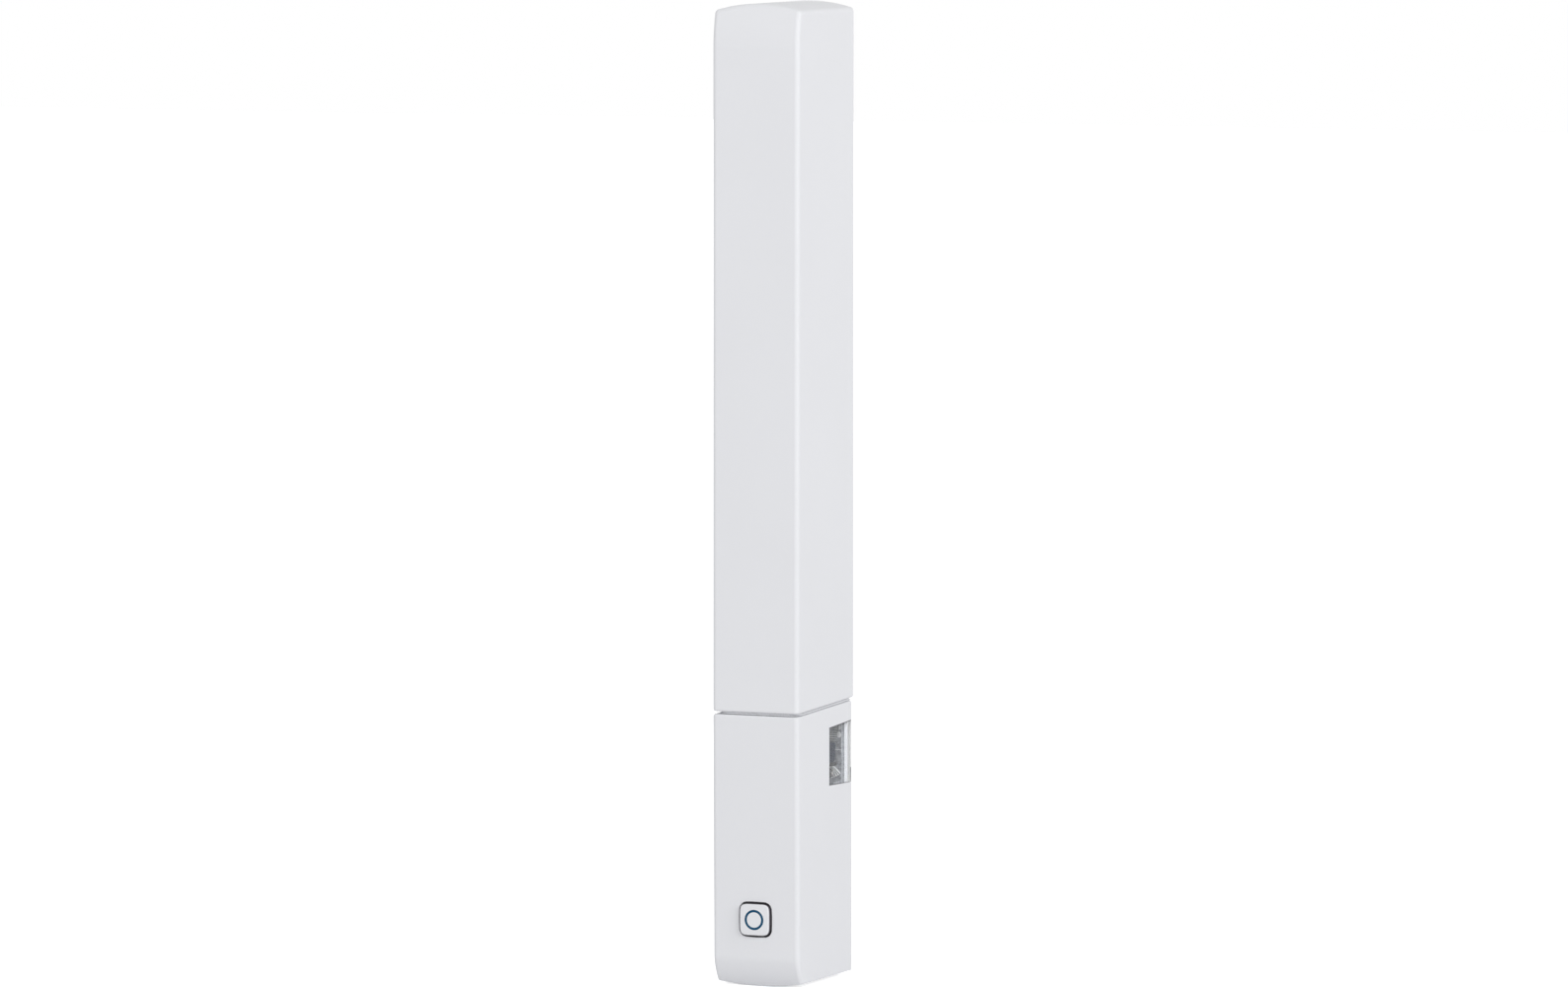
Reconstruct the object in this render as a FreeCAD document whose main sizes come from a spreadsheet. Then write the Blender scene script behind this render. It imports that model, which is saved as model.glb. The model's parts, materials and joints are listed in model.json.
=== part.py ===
"""Slim optical door and window contact: a battery cap that slides up off a fixed carrier.

Frame: millimetres, upright as mounted. +Z is up, the front faces -Y and the clear sensor
window is in the right side, +X. The origin is the centre of the back mounting face, so
"depth" below is measured forward from the mounting surface and "height" up from the base.
"""
import FreeCAD
import Part
import Sketcher
import math
import os
import re

# Driving sizes

SIZES = {
    # Overall form
    "lower_height": 40.75,
    "groove_height": 0.4,
    "seam_rise": 0.75,
    "wall": 1.2,
    "edge_radius": 0.7,
    "roof_radius": 0.75,
    "rim_radius": 0.35,
    "roof_rise": 1.05,
    "floor_rise": 0.7,
    "shoulder_height": 6.5,
    "shoulder_setback": 1.3,
    "front_lean": 0.2,
    "chin_height": 4.25,
    "chin_setback": 2.3,
    "chin_lean": 0.3,
    "chin_bulge": 0.35,
    "crease_radius": 3.0,
    # Fits
    "slide_clearance": 0.15,
    "seat_gap": 0.05,
    "wall_clearance": 0.2,
    "strip_thickness": 0.8,
    "strip_width": 9.0,
    "strip_height": 116.0,
    "strip_corner": 3.0,
    # Carrier
    "plate_thickness": 1.4,
    "plate_foot": 2.0,
    "waist_depth": 2.1,
    "waist_inset": 0.9,
    "carrier_wall": 0.85,
    "lip_drop": 2.15,
    "trough_wall": 1.0,
    "collar_wall": 1.0,
    "collar_overlap": 4.2,
    "collar_reach": 5.1,
    "collar_corner": 0.8,
    "deck_thickness": 1.2,
    "deck_rise": 2.1,
    "divider_thickness": 1.0,
    "divider_reach": 3.6,
    "rail_thickness": 0.8,
    "rail_gap": 1.0,
    "rib_width": 0.8,
    "rib_spacing": 3.4,
    # Cells and contacts
    "cell_diameter": 10.5,
    "cell_length": 44.5,
    "nub_diameter": 3.8,
    "nub_height": 1.0,
    "cell_edge": 0.6,
    "cell_clearance": 0.2,
    "cell_front_gap": 0.9,
    "cell_side_gap": 0.55,
    "cap_room": 1.4,
    "spring_length": 3.1,
    "spring_wire": 0.5,
    "spring_turns": 3,
    "spring_base_radius": 3.3,
    "spring_tip_radius": 2.0,
    "contact_thickness": 0.3,
    "contact_inset": 2.05,
    "contact_side_gap": 0.6,
    "tab_width": 2.4,
    "tab_slack": 0.15,
    # Board
    "board_side_gap": 0.3,
    "board_thickness": 1.0,
    "board_standoff": 1.2,
    "board_headroom": 0.7,
    "board_margin": 0.5,
    "board_top_gap": 0.6,
    "board_corner": 0.6,
    # Key
    "key_height": 10.25,
    "key_width": 4.42,
    "key_gap": 0.36,
    "key_corner": 0.85,
    "key_bulge": 0.12,
    "key_proud": 0.6,
    "key_face_thickness": 0.3,
    "flange_extra": 0.7,
    "flange_thickness": 0.7,
    "mark_diameter": 3.05,
    "mark_stroke": 0.36,
    "mark_depth": 0.12,
    "rod_diameter": 1.9,
    "guide_wall": 0.7,
    "guide_depth": 3.4,
    "switch_width": 4.4,
    "switch_thickness": 1.5,
    "plunger_diameter": 2.2,
    "plunger_height": 0.7,
    "plunger_root": 0.45,
    "plunger_room": 0.9,
    # Sensor window
    "window_top_gap": 2.67,
    "window_height": 8.55,
    "window_depth": 8.4,
    "window_flare_top": 0.45,
    "window_flare_base": 0.27,
    "window_gap": 0.08,
    "window_recess": 0.1,
    "window_flange": 0.7,
    "window_flange_thickness": 0.5,
    # Infrared pair and its holder
    "receiver_height": 2.95,
    "receiver_width": 2.2,
    "receiver_length": 2.4,
    "receiver_drop": 4.15,
    "receiver_corner": 0.5,
    "receiver_overhang": 0.1,
    "emitter_diameter": 2.0,
    "emitter_length": 2.6,
    "emitter_spacing": 3.15,
    "barrier_thickness": 0.4,
    "holder_thickness": 0.45,
    "holder_left": 1.4,
    "holder_ledge": 0.3,
    "fan_drop": 1.85,
    "fan_side": 3.3,
    "fan_radius": 2.3,
    "fan_hub_radius": 0.5,
    "fan_rib": 0.2,
    "fan_relief": 0.35,
    "fan_start": -100.0,
    "fan_sweep": 55.0,
    "fan_ribs": 6,
    # Parts on the board
    "led_width": 1.6,
    "led_height": 0.9,
    "led_thickness": 0.6,
    "led_gap": 1.35,
    "chip_width": 5.0,
    "chip_thickness": 0.9,
    "chip_side": 0.9,
    "chip_gap": 0.9,
    "crystal_width": 1.6,
    "crystal_height": 3.2,
    "crystal_thickness": 0.8,
    "crystal_gap": 0.5,
    "capacitor_diameter": 4.0,
    "capacitor_length": 5.4,
    "capacitor_side": 2.2,
    "capacitor_gap": 1.1,
    "radio_width": 8.0,
    "radio_height": 8.4,
    "radio_thickness": 1.9,
    "radio_gap": 3.5,
    "antenna_width": 2.2,
    "antenna_length": 17.0,
    "antenna_rise": 1.6,
    "antenna_sheet": 0.35,
    "antenna_top_gap": 2.5,
    # Screws
    "screw_diameter": 1.8,
    "screw_head": 3.2,
    "screw_head_height": 0.8,
    "screw_length": 3.8,
    "screw_slack": 0.02,
    "boss_diameter": 3.6,
    "board_screw_side": 2.6,
    "board_screw_gap": 0.5,
    "housing_screw_drop": 5.6,
    "housing_boss_relief": 0.2,
}

# Sizes that follow from the driving ones

PLACES = {
    "half_inner": "cell_diameter / 2 + cell_side_gap",
    "half_width": "half_inner + wall",
    "body_width": "2 * half_width",
    "inner_share": "half_inner / half_width * half_inner / half_width",
    "cap_base": "lower_height + groove_height",
    "back_depth": "strip_thickness",
    "plate_front": "back_depth + plate_thickness",
    "carrier_half": "half_inner - slide_clearance",
    "waist_half": "carrier_half - waist_inset",
    "waist_front": "plate_front + waist_depth",
    "chamber_half": "waist_half - carrier_wall",
    "board_back": "waist_front + board_standoff",
    "board_ledge": "board_back - seat_gap",
    "board_front": "board_back + board_thickness",
    "board_room": "carrier_half - carrier_wall",
    "chamber_front": "board_front + board_headroom",
    "trough_radius": "cell_diameter / 2 + cell_clearance",
    "trough_back": "chamber_front + trough_wall",
    "cell_depth": "trough_back + trough_radius",
    "front_inner": "cell_depth + cell_diameter / 2 + cell_front_gap",
    "body_depth": "front_inner + wall",
    "lip_depth": "cell_depth - lip_drop",
    "lip_half": "sqrt(trough_radius * trough_radius - lip_drop * lip_drop)",
    "contact_reach": "cell_diameter / 2 - contact_inset",
    "contact_chord": "sqrt(trough_radius * trough_radius - contact_reach * contact_reach)",
    "contact_width": "2 * (contact_chord - contact_side_gap)",
    "board_width": "2 * (board_room - board_side_gap)",
    "divider_front": "cell_depth + divider_reach",
    "deck_base": "cap_base + deck_rise",
    "deck_top": "deck_base + deck_thickness",
    "collar_base": "lower_height - collar_overlap",
    "collar_top": "cap_base + collar_reach",
    "collar_front": "front_inner - slide_clearance",
    "lower_cell_base": "deck_top + contact_thickness + spring_length",
    "divider_base": "lower_cell_base + cell_length + contact_thickness",
    "divider_top": "divider_base + divider_thickness",
    "upper_cell_base": "divider_top + contact_thickness + spring_length",
    "end_wall_base": "upper_cell_base + cell_length + contact_thickness",
    "carrier_top": "end_wall_base + divider_thickness",
    "total_height": "carrier_top + cap_room + wall + roof_rise",
    "cap_height": "total_height - cap_base",
    "base": "-total_height / 2",
    "board_top": "carrier_top - board_top_gap",
    "key_share": "(lower_height - key_height) / (lower_height - chin_height)",
    "key_wall_front": "body_depth - chin_lean * key_share",
    "key_face_front": "key_wall_front + key_proud",
    "key_body_front": "key_face_front - key_face_thickness",
    "flange_front": "front_inner - chin_lean - seat_gap",
    "flange_back": "flange_front - flange_thickness",
    "flange_width": "key_width + 2 * flange_extra",
    "guide_width": "flange_width + 2 * slide_clearance",
    "housing_screw_height": "key_height - housing_screw_drop",
    "switch_top": "key_height + switch_width / 2",
    "board_foot": "key_height - switch_width / 2 - board_margin",
    "led_place": "switch_top + led_gap + led_height / 2",
    "board_screw_low": "led_place + led_height / 2 + board_screw_gap + screw_head / 2",
    "capacitor_place": "switch_top + capacitor_gap + capacitor_diameter / 2",
    "radio_place": "deck_base - radio_gap - radio_height / 2",
    "board_screw_high": "radio_place - radio_height / 2 - board_screw_gap - screw_head / 2",
    "chip_place": "board_screw_high - screw_head / 2 - chip_gap - chip_width / 2",
    "switch_front": "board_front + switch_thickness",
    "plunger_front": "switch_front + plunger_height",
    "window_top": "lower_height - window_top_gap",
    "window_base": "window_top - window_height",
    "window_front": "back_depth + window_depth",
    "window_outer": "half_width - window_recess",
    "flange_inner": "half_inner - window_flange_thickness",
    "flange_top": "window_top + window_flare_top + window_flange",
    "flange_rear": "plate_front + slide_clearance",
    "receiver_centre": "window_top - receiver_drop",
    "emitter_centre": "receiver_centre - emitter_spacing",
    "fan_height": "receiver_centre - fan_drop",
    "receiver_face": "board_width / 2 + receiver_overhang",
    "receiver_foot": "receiver_centre - receiver_height / 2",
    "holder_front": "plate_front + holder_thickness",
    "holder_right": "flange_inner - slide_clearance",
}

document = FreeCAD.newDocument("door_contact")
sheet = document.addObject("Spreadsheet::Sheet", "Sizes")
for row, (alias, size) in enumerate(SIZES.items(), start=1):
    sheet.set(f"A{row}", str(size))
    sheet.setAlias(f"A{row}", alias)
for row, (alias, formula) in enumerate(PLACES.items(), start=1):
    sheet.set(f"B{row}", "=" + formula)
    sheet.setAlias(f"B{row}", alias)
document.recompute()

PIECES = []
WORD = re.compile(r"[a-z_]+")
NEAR = 0.01
STRAIGHT = 1e-6


# Helpers

def linked(formula):
    """Write a formula over the sheet's names as an expression that other objects can hold."""
    def prefix(match):
        word = match.group(0)
        return "Sizes." + word if word in SIZES or word in PLACES else word
    return WORD.sub(prefix, formula)


def number(formula):
    """The formula's present value, for geometry that a sketch starts from."""
    return float(sheet.evalExpression(formula))


def bind(thing, prop, formula):
    thing.setExpression(prop, linked(formula))


def place(thing, side="0", depth="0", height="0"):
    """Bind a piece's place: to the side, forward of the mounting face, and up from the base."""
    bind(thing, "Placement.Base.x", side)
    bind(thing, "Placement.Base.y", f"-({depth})")
    bind(thing, "Placement.Base.z", f"base + {height}")


def new_body(label):
    body = document.addObject("PartDesign::Body", label)
    body.Label = label
    return body


def new_sketch(body, plane, offset="0"):
    """A sketch on one of the body's own planes: XY looks down, XZ faces the front, YZ the right."""
    sketch = body.newObject("Sketcher::SketchObject", body.Label + "_sketch")
    role = plane + "_Plane"
    support = next(part for part in body.Origin.OriginFeatures if part.Role == role)
    sketch.AttachmentSupport = [(support, "")]
    sketch.MapMode = "FlatFace"
    bind(sketch, "AttachmentOffset.Base.z", offset)
    return sketch


def tie(sketch, geometry, vertex, spot):
    """Hold a vertex at two bound distances from the sketch's origin."""
    for kind, formula in zip(("DistanceX", "DistanceY"), spot):
        held = Sketcher.Constraint(kind, -1, 1, geometry, vertex, number(formula))
        bind(sketch, f"Constraints[{sketch.addConstraint(held)}]", formula)


def point(spot):
    return FreeCAD.Vector(number(spot[0]), number(spot[1]), 0)


def outline(sketch, corners, through=None):
    """Close a loop of sides through the corners; a side given a point to go through is an arc."""
    through = through or {}
    ends = []
    for index, corner in enumerate(corners):
        start = point(corner)
        stop = point(corners[(index + 1) % len(corners)])
        if index not in through:
            ends.append((sketch.addGeometry(Part.LineSegment(start, stop), False), 1, 2))
            continue
        middle = point(through[index])
        side = sketch.addGeometry(Part.Arc(start, middle, stop), False)
        forward = sketch.getPoint(side, 1).isEqual(start, 1e-6)
        ends.append((side, 1, 2) if forward else (side, 2, 1))
        mark = sketch.addGeometry(Part.Point(middle), True)
        tie(sketch, mark, 1, through[index])
        sketch.addConstraint(Sketcher.Constraint("PointOnObject", mark, 1, side))
    for before, after in zip([ends[-1]] + ends[:-1], ends):
        meet = Sketcher.Constraint("Coincident", before[0], before[2], after[0], after[1])
        sketch.addConstraint(meet)
    for (side, first, _), corner in zip(ends, corners):
        tie(sketch, side, first, corner)


def ring(sketch, diameter, side="0", height="0"):
    """A bound circle."""
    centre = point((side, height))
    circle = Part.Circle(centre, FreeCAD.Vector(0, 0, 1), number(diameter) / 2)
    index = sketch.addGeometry(circle, False)
    tie(sketch, index, 3, (side, height))
    held = Sketcher.Constraint("Diameter", index, number(diameter))
    bind(sketch, f"Constraints[{sketch.addConstraint(held)}]", diameter)


def rectangle(sketch, left, right, low, high):
    outline(sketch, [(left, low), (right, low), (right, high), (left, high)])


def squircle(sketch, width, height="0"):
    """A square whose four sides swell outwards a little, centred at the height."""
    half = f"({width}) / 2"
    swell = f"({half} + key_bulge)"
    low = f"{height} - {half}"
    high = f"{height} + {half}"
    corners = [(f"-{half}", low), (half, low), (half, high), (f"-{half}", high)]
    crowns = {
        0: ("0", f"{height} - {swell}"),
        1: (swell, height),
        2: ("0", f"{height} + {swell}"),
        3: (f"-{swell}", height),
    }
    outline(sketch, corners, crowns)


def pad(body, sketch, length, midplane=False, reverse=False):
    feature = body.newObject("PartDesign::Pad", body.Label + "_pad")
    feature.Profile = sketch
    bind(feature, "Length", length)
    feature.Midplane = midplane
    feature.Reversed = reverse
    document.recompute()
    return feature


def pocket(body, sketch, length=None, midplane=False, reverse=False):
    """Cut a sketch into the body, right through it unless a length is given."""
    before = body.Shape.Volume
    feature = body.newObject("PartDesign::Pocket", body.Label + "_pocket")
    feature.Profile = sketch
    feature.Midplane = midplane or length is None
    feature.Reversed = reverse
    if length is None:
        feature.Type = "ThroughAll"
    else:
        bind(feature, "Length", length)
    document.recompute()
    if body.Shape.Volume >= before:
        raise ValueError(f"{body.Label}: the pocket removes nothing")
    return feature


def edges_where(shape, rule):
    """Names of the edges whose centre and extent satisfy the rule."""
    return [
        f"Edge{index}"
        for index, edge in enumerate(shape.Edges, start=1)
        if rule(edge.CenterOfMass, edge.BoundBox)
    ]


def fillet(body, radius, rule):
    base = body.Tip
    feature = body.newObject("PartDesign::Fillet", body.Label + "_fillet")
    feature.Base = (base, edges_where(base.Shape, rule))
    bind(feature, "Radius", radius)
    document.recompute()
    return feature


def upright(_, box):
    return box.XLength < STRAIGHT and box.YLength < STRAIGHT


def along_depth(_, box):
    return box.XLength < STRAIGHT and box.ZLength < STRAIGHT


def along_side(_, box):
    return box.YLength < STRAIGHT and box.ZLength < STRAIGHT


def piece(body):
    """Count a finished sub-part and hand it back."""
    PIECES.append(body)
    return body


def block(label, width, height, thickness, corner=None):
    """A flat block that grows forward from its back face, centred on its own origin."""
    body = new_body(label)
    sketch = new_sketch(body, "XZ")
    rectangle(sketch, f"-{width} / 2", f"{width} / 2", f"-{height} / 2", f"{height} / 2")
    pad(body, sketch, thickness)
    if corner:
        fillet(body, corner, along_depth)
    return piece(body)


def disc(label, diameter, thickness):
    """A round block that grows forward from its back face."""
    body = new_body(label)
    sketch = new_sketch(body, "XZ")
    ring(sketch, diameter)
    pad(body, sketch, thickness)
    return piece(body)


# Shells

def arch(sketch, spring_line, crown, beyond):
    """What lies above an arched roof, or below an arched floor, as a closed loop."""
    corners = [
        ("-half_width", spring_line),
        ("half_width", spring_line),
        ("half_width", beyond),
        ("-half_width", beyond),
    ]
    outline(sketch, corners, {0: ("0", crown)})


def cap_profile(sketch, inset, high, back):
    """The cap in side view, its front drawn in by the inset, from the rim up to a flat top."""
    front = f"-body_depth + {inset}"
    corners = [
        (front, "0"),
        *back,
        (f"{front} + shoulder_setback", high),
        (f"{front} + front_lean", "cap_height - shoulder_height"),
    ]
    bend = (
        f"{front} + front_lean + (shoulder_setback - front_lean) / 4",
        f"(cap_height - shoulder_height + {high}) / 2",
    )
    outline(sketch, corners, {3: bend})


def rim_edge(height, rise):
    """Rule for the outer edges of an open end: across the front and along both flanks."""
    half = number("half_width")
    front = -number("body_depth")
    level = number(height)
    slope = number(rise)

    def rule(centre, box):
        flank = abs(abs(centre.x) - half) < NEAR and box.XLength < NEAR and box.YLength > half
        across = abs(centre.y - front) < NEAR and box.YLength < NEAR
        return abs(centre.z - level) < slope + NEAR and (flank or across)
    return rule


def make_cap():
    """A tall shell, open behind and below, with an arched roof and a rail in each side wall."""
    body = new_body("battery_cap")
    side = new_sketch(body, "YZ")
    back = [("-wall_clearance", "seam_rise"), ("-wall_clearance", "cap_height")]
    cap_profile(side, "0", "cap_height", back)
    pad(body, side, "body_width", midplane=True)
    roof = new_sketch(body, "XZ")
    arch(roof, "cap_height - roof_rise", "cap_height", "cap_height + wall")
    pocket(body, roof)
    half = number("half_width")
    middle = -number("body_depth") / 2
    corner_line = number("cap_height - roof_rise - edge_radius")

    def front_edge(centre, box):
        flank = abs(abs(centre.x) - half) < NEAR and box.XLength < NEAR
        return flank and centre.y < middle and box.ZLength > box.YLength
    fillet(body, "edge_radius", front_edge)

    def roof_edge(centre, box):
        along = box.YLength > -middle / 2
        across = centre.y < middle and box.XLength > half / 2
        return centre.z > corner_line and (along or across)
    fillet(body, "roof_radius", roof_edge)
    cavity = new_sketch(body, "YZ")
    ceiling = "cap_height - roof_rise * inner_share - wall"
    cap_profile(cavity, "wall", ceiling, [("0", "0"), ("0", ceiling)])
    pocket(body, cavity, "2 * half_inner", midplane=True)
    fillet(body, "rim_radius", rim_edge("0", "seam_rise"))
    for hand in ("", "-"):
        rail = new_sketch(body, "XY", "collar_reach + rail_gap")
        rectangle(
            rail,
            f"{hand}(waist_half + slide_clearance)",
            f"{hand}(half_inner + wall / 4)",
            "-(waist_front - slide_clearance)",
            "-(waist_front - slide_clearance - rail_thickness)",
        )
        pad(body, rail, "carrier_top - cap_base - collar_reach - 2 * rail_gap")
        rib = new_sketch(body, "XY", "collar_reach + rail_gap")
        rectangle(
            rib,
            f"{hand}(rib_spacing / 2)",
            f"{hand}(rib_spacing / 2 + rib_width)",
            "-(front_inner + wall / 4)",
            "-(cell_depth + trough_radius)",
        )
        pad(body, rib, "carrier_top - cap_base - collar_reach - shoulder_height")
    place(body, height="cap_base")
    return piece(body)


def chin_profile(sketch, inset, low, high, back):
    """The lower shell in side view: a leaning front, a crease and a chin that tucks under."""
    front = f"-body_depth + {inset}"
    corners = [
        (front, high),
        *back,
        (f"{front} + chin_setback", low),
        (f"{front} + chin_lean", "chin_height"),
    ]
    bulge = (
        f"{front} + (chin_setback + chin_lean) / 2 - chin_bulge",
        f"({low} + chin_height) / 2",
    )
    outline(sketch, corners, {3: bulge})


def make_lower_housing():
    """The lower shell, open behind and above, pierced for the key and the sensor window."""
    body = new_body("lower_housing")
    side = new_sketch(body, "YZ")
    back = [("-back_depth", "lower_height + seam_rise"), ("-back_depth", "0")]
    chin_profile(side, "0", "0", "lower_height", back)
    pad(body, side, "body_width", midplane=True)
    half = number("half_width")
    middle = -number("body_depth") / 2
    crease = number("chin_height")
    fillet(body, "crease_radius", lambda centre, box: abs(centre.z - crease) < NEAR and box.XLength > half)
    floor = new_sketch(body, "XZ")
    arch(floor, "floor_rise", "0", "-wall")
    pocket(body, floor)

    def upright_edge(centre, box):
        flank = abs(abs(centre.x) - half) < NEAR and box.XLength < NEAR
        return flank and centre.y < middle and box.ZLength > 0.5 * box.YLength
    fillet(body, "edge_radius", upright_edge)
    cavity = new_sketch(body, "YZ")
    floor_level = "floor_rise * inner_share + wall"
    open_top = "lower_height + wall"
    chin_profile(cavity, "wall", floor_level, open_top, [("0", open_top), ("0", floor_level)])
    pocket(body, cavity, "2 * half_inner", midplane=True)
    fillet(body, "rim_radius", rim_edge("lower_height", "seam_rise"))
    add_key_guide(body)
    add_housing_boss(body)
    opening = new_sketch(body, "XZ", "front_inner - wall")
    squircle(opening, "key_width + 2 * key_gap", "key_height")
    pocket(body, opening, "3 * wall", reverse=True)
    corner_half = number("key_width / 2 + key_gap")
    key_level = number("key_height")

    def opening_corner(centre, box):
        beside = abs(abs(centre.x) - corner_half) < NEAR
        level = abs(abs(centre.z - key_level) - corner_half) < NEAR
        return beside and level and box.XLength < NEAR
    fillet(body, "key_corner + key_gap", opening_corner)
    notch = new_sketch(body, "YZ", "half_inner - wall / 2")
    window_outline(notch, "window_gap", "0")
    pocket(body, notch, "2 * wall", reverse=True)
    place(body)
    return piece(body)


def add_key_guide(body):
    """A square sleeve behind the front wall, in which the key's flange slides."""
    sleeve = new_sketch(body, "XZ", "front_inner - guide_depth")
    inner = "guide_width / 2"
    outer = "guide_width / 2 + guide_wall"
    rectangle(sleeve, f"-({outer})", outer, f"key_height - ({outer})", f"key_height + {outer}")
    rectangle(sleeve, f"-{inner}", inner, f"key_height - {inner}", f"key_height + {inner}")
    pad(body, sleeve, "guide_depth + wall / 4")


def add_housing_boss(body):
    """The post that takes the housing screw, standing on the inside of the chin."""
    post = new_sketch(body, "XZ", "plate_front")
    ring(post, "boss_diameter", height="housing_screw_height")
    pad(body, post, "front_inner - housing_boss_relief - plate_front")
    bore = new_sketch(body, "XZ", "plate_front")
    ring(bore, "screw_diameter + 2 * screw_slack", height="housing_screw_height")
    pocket(body, bore, "screw_length + wall", reverse=True)


def window_outline(sketch, gap, rear):
    """The sensor window in side view, flaring towards the back, grown all round by the gap."""
    top = f"window_top + {gap}"
    base = f"window_base - {gap}"
    corners = [
        (f"-(window_front + {gap})", top),
        ("-back_depth", f"{top} + window_flare_top"),
        (f"-{rear}", f"{top} + window_flare_top"),
        (f"-{rear}", f"{base} - window_flare_base"),
        ("-back_depth", f"{base} - window_flare_base"),
        (f"-(window_front + {gap})", base),
    ]
    if rear == "back_depth":
        corners = [corners[0], corners[1], corners[4], corners[5]]
    outline(sketch, corners)


# Carrier

def cradle_section(sketch):
    """Across the battery bay: back plate, waist, flanges with the cell trough, board chamber."""
    right = [
        ("carrier_half", "-back_depth"),
        ("carrier_half", "-plate_front"),
        ("waist_half", "-plate_front"),
        ("waist_half", "-waist_front"),
        ("carrier_half", "-waist_front"),
        ("carrier_half", "-lip_depth"),
        ("lip_half", "-lip_depth"),
    ]
    left = [(f"-{side}", depth) for side, depth in reversed(right)]
    outline(sketch, right + left, {len(right) - 1: ("0", "-trough_back")})
    chamber = [
        ("chamber_half", "-plate_front"),
        ("chamber_half", "-board_ledge"),
        ("board_room", "-board_ledge"),
        ("board_room", "-chamber_front"),
    ]
    outline(sketch, chamber + [(f"-{side}", depth) for side, depth in reversed(chamber)])


def add_slab(body, base, thickness, front):
    """A wall across the trough with a rounded front, which carries a contact."""
    slab = new_sketch(body, "XY", base)
    corners = [
        ("-carrier_half", "-chamber_front"),
        ("carrier_half", "-chamber_front"),
        ("carrier_half", "-lip_depth"),
        ("-carrier_half", "-lip_depth"),
    ]
    outline(slab, corners, {2: ("0", f"-{front}")})
    pad(body, slab, thickness)


def add_boss(body, height):
    """A post on the back plate that the board is screwed to."""
    post = new_sketch(body, "XZ", "plate_front")
    ring(post, "boss_diameter", "-board_screw_side", height)
    pad(body, post, "board_back - plate_front")
    bore = new_sketch(body, "XZ", "board_back")
    ring(bore, "screw_diameter + 2 * screw_slack", "-board_screw_side", height)
    pocket(body, bore, "board_back - plate_front")


def make_carrier():
    """The fixed moulding: back plate, neck collar, deck, cell trough and board chamber."""
    body = new_body("carrier")
    plate = new_sketch(body, "XZ", "back_depth")
    rectangle(plate, "-carrier_half", "carrier_half", "plate_foot", "carrier_top")
    pad(body, plate, "plate_thickness")
    bay = new_sketch(body, "XY", "deck_base")
    cradle_section(bay)
    pad(body, bay, "carrier_top - deck_base")
    collar = new_sketch(body, "XY", "collar_base")
    inner = "carrier_half - collar_wall"
    rectangle(collar, "-carrier_half", "carrier_half", "-collar_front", "-back_depth")
    rectangle(collar, f"-({inner})", inner, "-(collar_front - collar_wall)", "-plate_front")
    pad(body, collar, "collar_top - collar_base")
    front = -number("collar_front")
    fillet(body, "collar_corner", lambda centre, box: upright(centre, box) and abs(centre.y - front) < NEAR)
    deck = new_sketch(body, "XY", "deck_base")
    deck_half = "carrier_half - collar_wall / 2"
    rectangle(deck, f"-({deck_half})", deck_half, "-(collar_front - collar_wall / 2)", "-chamber_front")
    pad(body, deck, "deck_thickness")
    add_slab(body, "divider_base", "divider_thickness", "divider_front")
    add_slab(body, "end_wall_base", "divider_thickness", "divider_front")
    for height in ("board_screw_low", "board_screw_high"):
        add_boss(body, height)
    for low in ("deck_top", "end_wall_base - contact_thickness - 2 * tab_slack"):
        slot = new_sketch(body, "XZ", "board_front")
        half = "(tab_width / 2 + tab_slack)"
        rectangle(slot, f"-{half}", half, low, f"{low} + contact_thickness + 2 * tab_slack")
        pocket(body, slot, "lip_depth - board_front", reverse=True)
    relief = new_sketch(body, "YZ", "board_room - slide_clearance")
    rectangle(
        relief,
        "-(window_front + window_flange + slide_clearance)",
        "-plate_front",
        "collar_base",
        "flange_top + slide_clearance",
    )
    pocket(body, relief, "collar_wall + wall", reverse=True)
    hole = new_sketch(body, "XZ", "back_depth")
    ring(hole, "screw_diameter + 2 * slide_clearance", height="housing_screw_height")
    pocket(body, hole)
    seat = new_sketch(body, "XZ", "back_depth")
    ring(seat, "screw_head + 2 * slide_clearance", height="housing_screw_height")
    pocket(body, seat, "screw_head_height", reverse=True)
    place(body)
    return piece(body)


# Cells and contacts

def make_cell(label, base):
    """A slim round cell turned about its own axis, its positive nub upwards."""
    body = new_body(label)
    profile = new_sketch(body, "XZ")
    shoulder = "cell_length - nub_height"
    rim = "cell_diameter / 2"
    corners = [
        ("0", "0"),
        (f"{rim} - cell_edge", "0"),
        (rim, "cell_edge"),
        (rim, f"{shoulder} - cell_edge"),
        (f"{rim} - cell_edge", shoulder),
        ("nub_diameter / 2", shoulder),
        ("nub_diameter / 2", "cell_length"),
        ("0", "cell_length"),
    ]
    outline(profile, corners)
    turn = body.newObject("PartDesign::Revolution", label + "_turn")
    turn.Profile = profile
    turn.ReferenceAxis = (profile, ["V_Axis"])
    turn.Angle = 360
    document.recompute()
    place(body, depth="cell_depth", height=base)
    return piece(body)


def make_contact(label, base):
    """A flat sprung plate across the trough with a solder tab back to the board."""
    body = new_body(label)
    sheet_cut = new_sketch(body, "XY")
    corners = [
        ("-tab_width / 2", "-board_front"),
        ("tab_width / 2", "-board_front"),
        ("tab_width / 2", "-(cell_depth - contact_reach)"),
        ("contact_width / 2", "-(cell_depth - contact_reach)"),
        ("contact_width / 2", "-(cell_depth + contact_reach)"),
        ("-contact_width / 2", "-(cell_depth + contact_reach)"),
        ("-contact_width / 2", "-(cell_depth - contact_reach)"),
        ("-tab_width / 2", "-(cell_depth - contact_reach)"),
    ]
    outline(sheet_cut, corners)
    pad(body, sheet_cut, "contact_thickness")
    place(body, height=base)
    return piece(body)


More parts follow.
